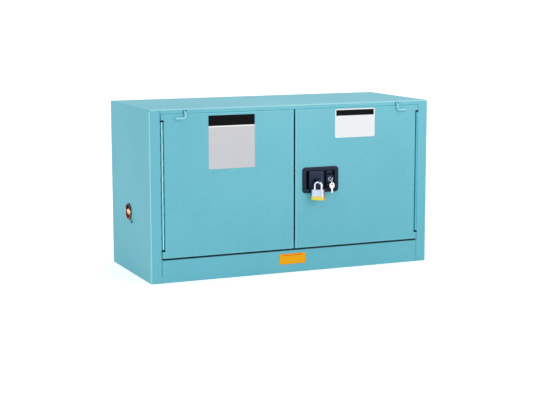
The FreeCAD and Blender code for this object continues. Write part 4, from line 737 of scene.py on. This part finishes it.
@dataclass
class HandleSet:
    """Black handle set of the right door: cup with rim, lock boss and paddle with its padlock tab."""
    shop: Workshop
    lock: Point
    centre: Pair = (103.0, 334.5)
    rim_half: Pair = (72.0, 47.0)
    rim_radius: float = 12.0
    rim_front: float = -235.0
    face: float = -231.0
    recess_half: Pair = (56.5, 33.5)
    recess_radius: float = 4.5
    recess_back: float = -214.0
    floor_radius: float = 2.0
    draft: float = 0.6
    cup_back: float = -211.5
    cup_wall: float = 2.5
    edge: float = 2.6
    ledge: float = 0.9
    lip: float = 1.8
    boss_half: Pair = (14.5, 15.5)
    boss_front: float = -232.5
    step_front: float = -221.0
    paddle_x: Pair = (58.5, 113.5)
    paddle_half_h: float = 31.0
    paddle_front: float = -232.0
    pin: Pair = (116.5, -226.0)
    barrel_r: float = 4.5
    tab_half_t: float = 1.5
    tab_half_h: float = 11.0
    tab_nose: float = 5.0
    eye_half: Pair = (8.25, 5.5)
    eye_fit: float = 0.6
    around: int = 36

    def housing(self) -> Surface:
        """The cup and rim as one loft, with the step and the boss for the lock in the cup."""
        c, (rw, rh), r, lip, front = self.centre, self.recess_half, self.recess_radius, self.lip, self.rim_front
        cup = Ring(rw + self.cup_wall, rh + self.cup_wall, 5.0, centre=c)
        rim = Ring(*self.rim_half, self.rim_radius, self.face, c)
        recess = Ring(rw, rh, r, centre=c)
        ledge = front + self.ledge
        rings = [cup.at(self.cup_back, -2.0), cup.at(self.cup_back - 2.0), cup.at(self.face), rim]
        rings += [rim.at(front + self.edge * back, -self.edge * inset) for back, inset in quarter(7)]
        rings += [Ring(rw + 7.5, rh + 6.6, r + 4.0, front, c), Ring(rw + 6.5, rh + 5.6, r + 3.2, ledge, c),
                  recess.at(ledge, lip + 0.6, r + 1.6)]
        rings += [recess.at(ledge + lip * back, lip * out, r) for out, back in quarter(5)]
        deep = (len(rings) - 1) * self.around
        rings.append(recess.at(ledge + lip + 0.4, 0.0, r))
        rings += [recess.at(self.recess_back - self.floor_radius * rise,
                            -self.draft - self.floor_radius * inset, r) for rise, inset in quarter(5)]
        shell = Surface().grid(loft(rings))
        # The inner walls, the floor and the step take the second finish, a near-black painted shade.
        shell.marks[deep:] = [1] * (len(shell.marks) - deep)
        shell.marks[-4 * self.around:-2 * self.around] = [0] * 2 * self.around
        (bw, bh), (boss_x, _, boss_z), floor = self.boss_half, self.lock, self.recess_back + 1
        right = c[0] + rw
        half = (right - boss_x + bw) / 2 + 0.2
        shell.block(half, rh - 0.2, 1.5, self.step_front, floor, (right - half + 0.4, c[1]), 0.4, 1.2, mark=1)
        for low, high in ((boss_z + bh + 4.2, c[1] + rh - 1.2), (c[1] - rh + 1.2, boss_z - bh - 4.2)):
            shell.block(half - 2.6, (high - low) / 2, 1.6, self.step_front - 5.5, self.step_front + 1,
                        (right - half - 0.4, (low + high) / 2), 0.3, 1.4)
        boss = (boss_x, boss_z)
        shell.block(bw, bh, 3.0, self.boss_front, floor, boss, 0.4, 1.6, 6)
        shell.block(bw - 4.0, bh - 4.5, 6.0, self.boss_front - 0.5, self.boss_front + 1, boss, 0.1, 0.4, 8)
        for side in (-1, 1):
            ear = (self.pin[0], c[1] + side * (rh - 1.4))
            shell.block(6.5, 1.6, 1.2, self.pin[1] - 5.2, floor, ear, 0.3, 1.0)
        return shell

    def plate(self) -> Surface:
        """The paddle: a plate with a rolled finger edge, a barrel on the pin, a crank and the tab."""
        (x0, x1), z, y, tall = self.paddle_x, self.centre[1], self.paddle_front, self.paddle_half_h
        mid, wide = (x0 + x1) / 2, (x1 - x0) / 2
        body = Surface().block(wide, tall, 2.5, y, y + 3.2, (mid, z), 0.5, 1.3, 6)
        body.block(wide - 5.0, tall - 5.0, 2.0, y - 0.6, y + 1, (mid - 0.5, z), 0.1, 0.5, 6)
        body.block(1.7, tall, 0.8, y + 0.4, y + 8.0, (x0 + 1.7, z), 0.6)
        # The strips along the top edge and beside the barrel take the second finish, a painted highlight.
        body.block(wide - 3.0, 0.8, 0.7, y - 0.35, y + 1.0, (mid - 1.0, z + tall - 1.1), 0.1, 0.3, 4, mark=1)
        body.block(2.0, tall - 9.0, 0.7, y - 0.35, y + 1.0, (x1 - 4.6, z + 4.0), 0.1, 0.3, 4, mark=1)
        for side in (-1, 1):
            body.block(wide - 1, 1.3, 0.5, y + 1.2, y + 8.0, (mid, z + side * (tall - 1.5)), 0.4, corner=4)
        r, e = self.barrel_r, 0.8
        barrel = [(r - e, z - tall), (r, z - tall + e), (r, z + tall - e), (r - e, z + tall)]
        body.grid(lathe(barrel, Axis.Z, self.pin, 40))
        body.block(2.0, 7.0, 1.0, self.pin[1], self.pin[1] + 25.0, (self.pin[0], z), 0.5, corner=4)
        return body.grid(self.tab(), closed=True)

    def tab(self) -> np.ndarray:
        """Rings of the tab with its eye for the shackle."""
        x, crown_y, _ = node_middle("padlock_shackle")
        eye_w, eye_h = self.eye_half
        z = node_box("padlock_shackle")[1][2] - 2 * SHACKLE_R - self.eye_fit + eye_h
        front, back = crown_y - eye_w - self.tab_nose, self.paddle_front + 2.0
        outline = Ring((back - front) / 2, self.tab_half_h, 8.5, centre=((front + back) / 2, z))
        eye = Ring(eye_w, eye_h, 4.5, centre=(crown_y, z))
        return loft(washer(outline, eye, x - self.tab_half_t, x + self.tab_half_t, 0.5), Axis.X)

    def build(self) -> None:
        """Make both pieces."""
        self.shop.make("handle_cup", self.housing(), "right_door", "handle_black", "handle_housing",
                       "black_mould", "recess_shade_mould")
        self.shop.make("paddle_plate", self.plate(), "paddle", "handle_black", "paddle",
                       "paddle_mould", "edge_highlight_mould")


@dataclass
class Padlock:
    """Laminated padlock: bevelled plates, foot rivets, plug face and ribbed bumper, and the shackle."""
    shop: Workshop
    crown: Point
    twist: float = -41.0
    half_w: float = 22.25
    half_t: float = 11.5
    corner: float = 4.0
    gap: float = 23.5
    height: float = 36.0
    plates: int = 11
    bumper: float = 12.0
    bumper_wall: float = 1.3
    bumper_fit: float = 0.02
    foot_radius: float = 1.6
    shackle_mean: float = 12.75
    long_leg: float = 14.0
    short_leg: float = 8.0

    @property
    def top(self) -> float:
        """Height of the case's top under the crown."""
        return self.crown[2] - SHACKLE_R - self.gap

    def turned(self, rows: np.ndarray) -> np.ndarray:
        """Rows of points turned about the upright through the crown, by the hanging twist."""
        a, (cx, cy, _) = math.radians(self.twist), self.crown
        x, y = rows[..., 0] - cx, rows[..., 1] - cy
        return np.stack([cx + x * math.cos(a) - y * math.sin(a), cy + x * math.sin(a) + y * math.cos(a),
                         rows[..., 2]], axis=-1)

    def case(self) -> Surface:
        """Plates one on another, each with rounded rims, four rivets on top and the plug in the foot."""
        c, top, pitch = self.crown[:2], self.top, self.height / self.plates
        foot = top - self.height
        body = Surface()
        for i in range(self.plates):
            low, inset = foot + i * pitch, 0.25 * (i % 2)
            rings = slab(self.half_w - inset, self.half_t - inset, self.corner, low, low + pitch + 0.01, c,
                         0.45, steps=3)
            body.grid(self.turned(loft(rings, Axis.Z, 7)))
        rivet = [(1.6, top - 0.4), (1.6, top + 0.15), (1.1, top + 0.45), (0.4, top + 0.6)]
        for sx, sy in ((-1, -1), (-1, 1), (1, -1), (1, 1)):
            at = (c[0] + sx * (self.half_w - 4.2), c[1] + sy * (self.half_t - 4.0))
            body.grid(self.turned(lathe(rivet, Axis.Z, at, 20)))
        return body.grid(self.turned(lathe([(6.2, foot - 0.9), (6.2, foot + 1.0)], Axis.Z, c, 36)))

    def bumper_ring(self) -> Surface:
        """The moulded bumper: a cup round the foot with a rolled upper rim and two shallow grooves."""
        foot, e, r, roll = self.top - self.height, self.bumper_wall, self.corner, self.foot_radius
        low, high = foot - e, foot + self.bumper
        mid, half = e / 2 + self.bumper_fit, e / 2 - self.bumper_fit
        body = Ring(self.half_w, self.half_t, r, centre=self.crown[:2])
        rings = [body.at(low, -3.0, r)]
        rings += [body.at(low + roll * back, e - roll * inset, r + e) for inset, back in quarter(5)]
        rings += [body.at(z + dz, e - dip) for z in (foot + 3.6, foot + 7.2)
                  for dz, dip in ((-0.5, 0.0), (-0.2, 0.35), (0.2, 0.35), (0.5, 0.0))]
        rings += [body.at(high - half * drop, mid + half * (1 - inset), r + mid)
                  for drop, inset in quarter(7, math.pi)]
        rings += [body.at(foot - 0.2, 2 * self.bumper_fit, r), body.at(foot - 0.2, -3.0, r)]
        return Surface().grid(self.turned(loft(rings, Axis.Z)), closed=True)

    def shackle(self) -> Surface:
        """The bent bar: legs and a half circle, as a tube on one path."""
        (cx, cy, cz), r, top = self.crown, self.shackle_mean, self.top
        t = np.linspace(math.pi, 0, 41)
        x = np.concatenate([np.full(8, cx - r), cx + r * np.cos(t), np.full(8, cx + r)])
        z = np.concatenate([np.linspace(top - self.long_leg, cz - r, 9)[:-1], cz - r + r * np.sin(t),
                            np.linspace(cz - r, top - self.short_leg, 9)[1:]])
        path = np.stack([x, np.full_like(x, cy), z], axis=1)
        return Surface().grid(self.turned(tube(path, SHACKLE_R, 32)))

    def build(self) -> None:
        """Make the three pieces."""
        make = self.shop.make
        make("padlock_plates", self.case(), "padlock_body", "padlock_steel", "padlock_case", "plate_steel")
        make("padlock_foot", self.bumper_ring(), "padlock_body", "bumper_yellow", "padlock_bumper",
             "yellow_bumper")
        make("padlock_bow", self.shackle(), "padlock_shackle", "lock_chrome", "padlock_shackle",
             "polished_chrome")


@dataclass
class VentPlug:
    """Cast plug of a side vent: threaded wall, rim, deep cup and a crowned grip bar with a round hub."""
    shop: Workshop
    side: int
    node: str
    y: float = 20.0
    outer: float = 551.0
    thick: float = 20.0
    radius: float = 29.95
    cup: float = 25.0
    depth: float = 9.0
    thread_pitch: float = 2.2
    thread_length: float = 13.0
    grip_half: float = 9.0
    grip_rise: float = 6.4
    around: int = 72

    def rows(self, profile: Sequence[Pair], around: int) -> np.ndarray:
        """A turned shape on the vent's axis: levels are measured from the middle plane outwards."""
        axis = (self.y, node_middle(self.node)[2])
        return lathe([(r, self.side * x) for r, x in profile], Axis.X, axis, around)

    def grip(self, floor: float) -> np.ndarray:
        """The grip bar: at a distance t along the bar its half height is that of a waisted oval.

        The half height is grip_half * (0.8 + 0.2 * t^2) with t from -1 at one end to 1 at the other, and
        the crown of its section is a half circle squashed to the bar's rise.
        """
        t, a = np.linspace(-1.0, 1.0, 25), np.linspace(0.0, math.pi, 15)
        half = self.grip_half * (0.8 + 0.2 * t ** 2)
        up = np.concatenate([-np.cos(a), [1.0, -1.0]])
        out = np.concatenate([np.sin(a) ** 0.8 * self.grip_rise, [-1.2, -1.2]])
        reach = np.sqrt(np.maximum(self.cup ** 2 - half ** 2, 0.0)).min() + 0.6
        y = (self.y + t * reach)[:, None]
        z = node_middle(self.node)[2] + half[:, None] * up
        x = self.side * (floor + out)
        return np.stack(np.broadcast_arrays(x, y, z), axis=-1)

    def build(self) -> None:
        """Make the plug."""
        x, r, c, back, around = self.outer, self.radius, self.cup, self.outer - self.thick, self.around
        floor = x - self.depth
        wall = [(20.0, back), (r - 1.5, back)]
        for i in range(int(self.thread_length / self.thread_pitch)):
            low = back + 0.4 + i * self.thread_pitch
            wall += [(r - 1.2, low + 0.3), (r, low + 0.9), (r, low + 1.3), (r - 1.2, low + 1.9)]
        wall += [(r, back + self.thread_length + 1.2), (r, x - 1.4), (r - 0.3, x - 0.6)]
        rim = [(r - 1.0, x), (c + 1.6, x), (c + 0.7, x - 0.5)]
        bowl = [(c + 0.3, x - 1.6), (c - 0.4, floor + 1.4), (c - 1.8, floor), (17.0, floor),
                (16.4, floor + 0.7), (15.0, floor + 0.7), (14.4, floor), (2.0, floor)]
        # The wall takes a dark painted shade; the rim and cup finishes carry patches of painted shade and
        # highlight.
        body = Surface().grid(self.rows(wall + rim + bowl, around))
        first = (len(wall) - 1) * around
        deep = first + len(rim) * around
        end = deep + len(bowl) * around
        body.marks[first:deep] = [1] * (deep - first)
        body.marks[deep:end] = [2] * (end - deep)
        body.marks[-2 * around:] = [2] * 2 * around
        hub = [(10.4, floor - 1), (10.4, floor + 6.2), (9.6, floor + 7.2), (6.6, floor + 7.4),
               (5.6, floor + 6.8), (5.2, floor + 4.4), (1.6, floor + 4.2)]
        body.grid(self.rows(hub, 48), mark=3)
        body.grid(self.grip(floor), mark=3)
        self.shop.make(self.node + "_casting", body, self.node, "plug_brass", self.node,
                       "plug_side_shade", "plug_rim", "plug_cup", "plug_grip")


@dataclass
class Key:
    """A flat key in the YZ plane with its shoulder at the origin, turned and moved to its place."""
    thickness: float = 2.0
    blade_half: float = 3.2
    blade: float = 17.0
    neck: float = 2.0
    bow: float = 9.5
    hole: float = 3.0
    cuts: tuple[float, ...] = (0.5, 1.6, 0.9, 2.0, 1.2, 2.2)

    @property
    def bow_y(self) -> float:
        """Distance of the bow's middle from the shoulder along the key."""
        return -self.neck - self.bow + 1

    @property
    def hole_y(self) -> float:
        """Distance of the hole from the shoulder along the key."""
        return self.bow_y - self.bow + self.hole + 2

    def surface(self) -> Surface:
        """Bow with its hole, neck and a blade whose upper edge follows the cuts."""
        half, tall = self.thickness / 2, self.blade_half
        bow = washer(Ring(self.bow, self.bow, 6.0, centre=(self.bow_y, 0.0)),
                     Ring(self.hole, self.hole, self.hole, centre=(self.hole_y, 0.0)), -half, half, 0.35)
        body = Surface().grid(loft(bow, Axis.X, 10), closed=True)
        body.block(self.neck / 2 + 1.6, tall + 1.0, 0.8, -half + 0.02, half - 0.02,
                   (-self.neck / 2 - 1.6, 0.0), 0.3, corner=4, axis=Axis.X)
        pitch = self.blade / (len(self.cuts) + 1)
        tops = [(0.0, tall)]
        for i, cut in enumerate(self.cuts):
            low = tall - cut
            tops += [(pitch * (i + 0.6), tall), (pitch * (i + 0.9), low), (pitch * (i + 1.1), low)]
        tops += [(self.blade - 2.0, tall - 2.2), (self.blade, 0.4)]
        y, top = np.array(tops).T
        low = np.array([-tall] * (len(y) - 1) + [-0.4])
        w, b = half - 0.05, 0.3
        section = [(-w, low + b), (-w, top - b), (-w + b, top), (w - b, top), (w, top - b), (w, low + b),
                   (w - b, low), (-w + b, low)]
        body.grid(np.stack([np.stack([np.full_like(y, x), y, z], axis=1) for x, z in section], axis=1))
        for side in (-w, w):
            body.block(self.blade / 2 - 3.0, 0.45, 0.4, side - 0.12, side + 0.12,
                       (self.blade / 2 - 1.0, -1.0), 0.08, corner=4, axis=Axis.X)
        return body


@dataclass
class LockSet:
    """The lock's barrel, the key in it, the ring in the key's hole and the spare key on the ring."""
    shop: Workshop
    lock: Point
    flange: float = 8.0
    flange_t: float = 2.0
    flange_edge: float = 0.9
    sleeve: float = 6.4
    bore: float = 5.7
    length: float = 29.0
    ring_r: float = 7.2
    wire: float = 0.7
    clear: float = 0.8

    def barrel(self) -> Surface:
        """A bright rounded flange on the boss and the sleeve behind it, turned as a closed ring."""
        x, y, z = self.lock
        r, e, bore, sleeve, back = self.flange, self.flange_edge, self.bore, self.sleeve, y + self.length
        profile = [(bore, y + 0.7), (bore + 0.4, y + 0.2), (bore + 1.0, y)]
        profile += [(r - e * inset, y + e * rise) for rise, inset in quarter(5)[::-1]]
        profile += [(r, y + self.flange_t), (sleeve, y + self.flange_t), (sleeve, back - 0.4),
                    (sleeve - 0.3, back), (bore, back)]
        return Surface().grid(lathe(profile, Axis.Y, (x, z), 56), closed=True)

    def build(self) -> None:
        """Make the four pieces."""
        make, pattern, (x, face, z) = self.shop.make, Key(), self.lock
        drop = pattern.hole - self.wire - self.clear
        hole, top = face + pattern.hole_y, z - drop
        inserted, spare = pattern.surface(), pattern.surface()
        make("lock_bezel", self.barrel(), "right_door", "lock_chrome", "lock_barrel", "polished_chrome")
        inserted.points = [p + np.array(self.lock) for p in inserted.points]
        # The key in the lock takes the darker nickel, a painted shade.
        make("key_blank", inserted, "key", "key_nickel", "key", "shaded_nickel")
        t = np.linspace(0, FULL_TURN, 72, endpoint=False)[:, None]
        angle = np.linspace(0, FULL_TURN, 16, endpoint=False)[None, :]
        slant = math.sqrt(0.5)
        reach = self.ring_r + self.wire * np.cos(angle)
        along, across = slant * reach * np.cos(t), slant * self.wire * np.sin(angle)
        ring = np.stack([x + along - across, hole + along + across, top - self.ring_r + reach * np.sin(t)],
                        axis=-1)
        make("split_ring", Surface().grid(ring, closed=True), "key_ring", "key_nickel", "key_ring", "nickel")
        shoulder = top - 2 * self.ring_r - drop + pattern.hole_y
        spare.points = [np.stack([x - p[:, 2], hole - p[:, 0], shoulder - p[:, 1]], axis=1)
                        for p in spare.points]
        make("spare_blank", spare, "spare_key", "key_nickel", "spare_key", "nickel")


@dataclass
class RodSpring:
    """Compression spring round a latch rod, against its guide, made as a coil at rest."""
    shop: Workshop
    node: str
    joint: str
    stands_up: bool
    wire: float = 0.6
    turns: float = 7.0
    travel: float = 8.3
    end_turn: float = 0.5

    def build(self) -> None:
        """Make the coil.

        At a share t of the wire the angle is 2 pi turns t, and the height rises evenly between two flat
        end turns: (t * turns - end_turn) / (turns - 2 * end_turn), held between 0 and 1.
        """
        low, high = node_box(self.node)
        x, y, _ = node_middle(self.node)
        mean, wire = (high[0] - low[0]) / 2 - self.wire, self.wire
        t = np.linspace(0.0, 1.0, int(self.turns * 24) + 1)
        rise = np.clip((t * self.turns - self.end_turn) / (self.turns - 2 * self.end_turn), 0.0, 1.0)
        angle = FULL_TURN * self.turns * t
        path = np.stack([x + mean * np.cos(angle), y + mean * np.sin(angle),
                         low[2] + wire + (high[2] - low[2] - 2 * wire) * rise], axis=1)
        obj = self.shop.make(self.node + "_coil", Surface().grid(tube(path, wire, 10)), "right_door",
                             "spring_steel", self.node, "spring_wire")
        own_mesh(obj)


@dataclass
class Studio:
    """Pale floor and backdrop, soft lamps and the camera at the photograph's place."""
    camera_at: Point = (-1.9951, -4.6578, 1.0072)
    yaw: float = 23.217
    pitch: float = 8.898
    roll: float = -0.097
    focal_px: float = 1357.4
    sensor: float = 36.0
    floor_half: float = 400.0
    floor_level: float = -0.0005
    floor_glow: float = 0.42
    sky: float = 0.88

    def camera(self) -> None:
        """Place the camera: it looks along the yaw, down by the pitch, and leans by the roll."""
        turns = ((-self.yaw, "Z"), (90.0 - self.pitch, "X"), (self.roll, "Z"))
        yaw, pitch, roll = (Matrix.Rotation(math.radians(angle), 4, axis) for angle, axis in turns)
        data = bpy.data.cameras.new("view")
        data.sensor_width = self.sensor
        data.lens = self.focal_px * self.sensor / PIXELS_WIDE
        data.clip_end = 3 * self.floor_half
        obj = linked("view", data)
        obj.matrix_world = Matrix.Translation(self.camera_at) @ yaw @ pitch @ roll
        bpy.context.scene.camera = obj

    @staticmethod
    def seen(graph: Graph) -> Socket:
        """1 for rays that show the background: from the camera, in a reflection or through glass."""
        path = graph.add("LightPath", {}).outputs
        first = graph.maths("MAXIMUM", path["Is Camera Ray"], path["Is Glossy Ray"])
        return graph.maths("MAXIMUM", first, path["Is Transmission Ray"])

    def floor(self) -> None:
        """A wide pale floor, white where it is seen."""
        material, graph, shader = new_material("studio_floor")
        glow = graph.maths("MULTIPLY", self.seen(graph), self.floor_glow)
        graph.feed(shader, {"Base Color": (0.86, 0.86, 0.86, 1.0), "Roughness": 1.0,
                            "Specular IOR Level": 0.0, "Emission Color": (1.0, 1.0, 1.0, 1.0),
                            "Emission Strength": glow})
        mesh = bpy.data.meshes.new("studio_floor")
        sides = ((-1, -1), (1, -1), (1, 1), (-1, 1))
        mesh.from_pydata([(x * self.floor_half, y * self.floor_half, self.floor_level) for x, y in sides],
                         [], [(0, 1, 2, 3)])
        mesh.materials.append(material)
        linked("studio_floor", mesh)

    def lamp(self, name: str, at: Point, to: Point, size: float, power: float, gloss_only: bool) -> None:
        """A square soft lamp aimed at a point; a gloss lamp shows only in the sheen of a surface."""
        data = bpy.data.lights.new(name, "AREA")
        data.shape, data.size, data.energy = "SQUARE", size, power
        obj = linked(name, data)
        obj.location = at
        obj.rotation_euler = (Vector(to) - Vector(at)).to_track_quat("-Z", "Y").to_euler()
        obj.visible_diffuse = not gloss_only

    def world(self) -> None:
        """Even light from the world, white where it is seen."""
        world = bpy.data.worlds.new("studio")
        bpy.context.scene.world = world
        world.use_nodes = True
        graph = Graph(world.node_tree)
        strength = graph.mix(self.seen(graph), self.sky, 1.0, "FLOAT")
        graph.feed(world.node_tree.nodes["Background"], {"Color": (1.0, 1.0, 1.0, 1.0), "Strength": strength})

    def build(self) -> None:
        """Set the whole studio up."""
        self.camera()
        self.floor()
        self.world()
        self.lamp("upper_lamp", (2.4, -3.4, 3.2), (0.2, 0.0, 0.5), 1.6, 30.0, False)
        self.lamp("side_lamp", (-4.0, -2.0, 1.6), (0.0, 0.0, 0.3), 1.2, 9.0, False)
        self.lamp("sheen_lamp", (1.35, -3.1, 1.3), (0.1, 0.0, 0.4), 1.2, 105.0, True)
        bpy.context.scene.view_settings.view_transform = "Standard"


def main() -> None:
    """Load the frame, dress it and add the detailed pieces."""
    logging.basicConfig(level=logging.INFO, format="%(name)s: %(message)s")
    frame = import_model()
    shared_groups()
    shop = Workshop()
    shop.dress(frame["nodes"])
    x, _, z = node_middle("lock_barrel")
    lock = (x, float(node_box("lock_barrel")[0][1]), z)
    shackle_top = float(node_box("padlock_shackle")[1][2])
    crown = (*node_middle("padlock_shackle")[:2], shackle_top - SHACKLE_R)
    HandleSet(shop, lock).build()
    Padlock(shop, crown).build()
    VentPlug(shop, -1, "left_vent_plug").build()
    VentPlug(shop, 1, "right_vent_plug").build()
    LockSet(shop, lock).build()
    RodSpring(shop, "top_rod_spring", "top_rod_travel", True).build()
    RodSpring(shop, "bottom_rod_spring", "bottom_rod_travel", False).build()
    Studio().build()


if __name__ == "__main__":
    main()
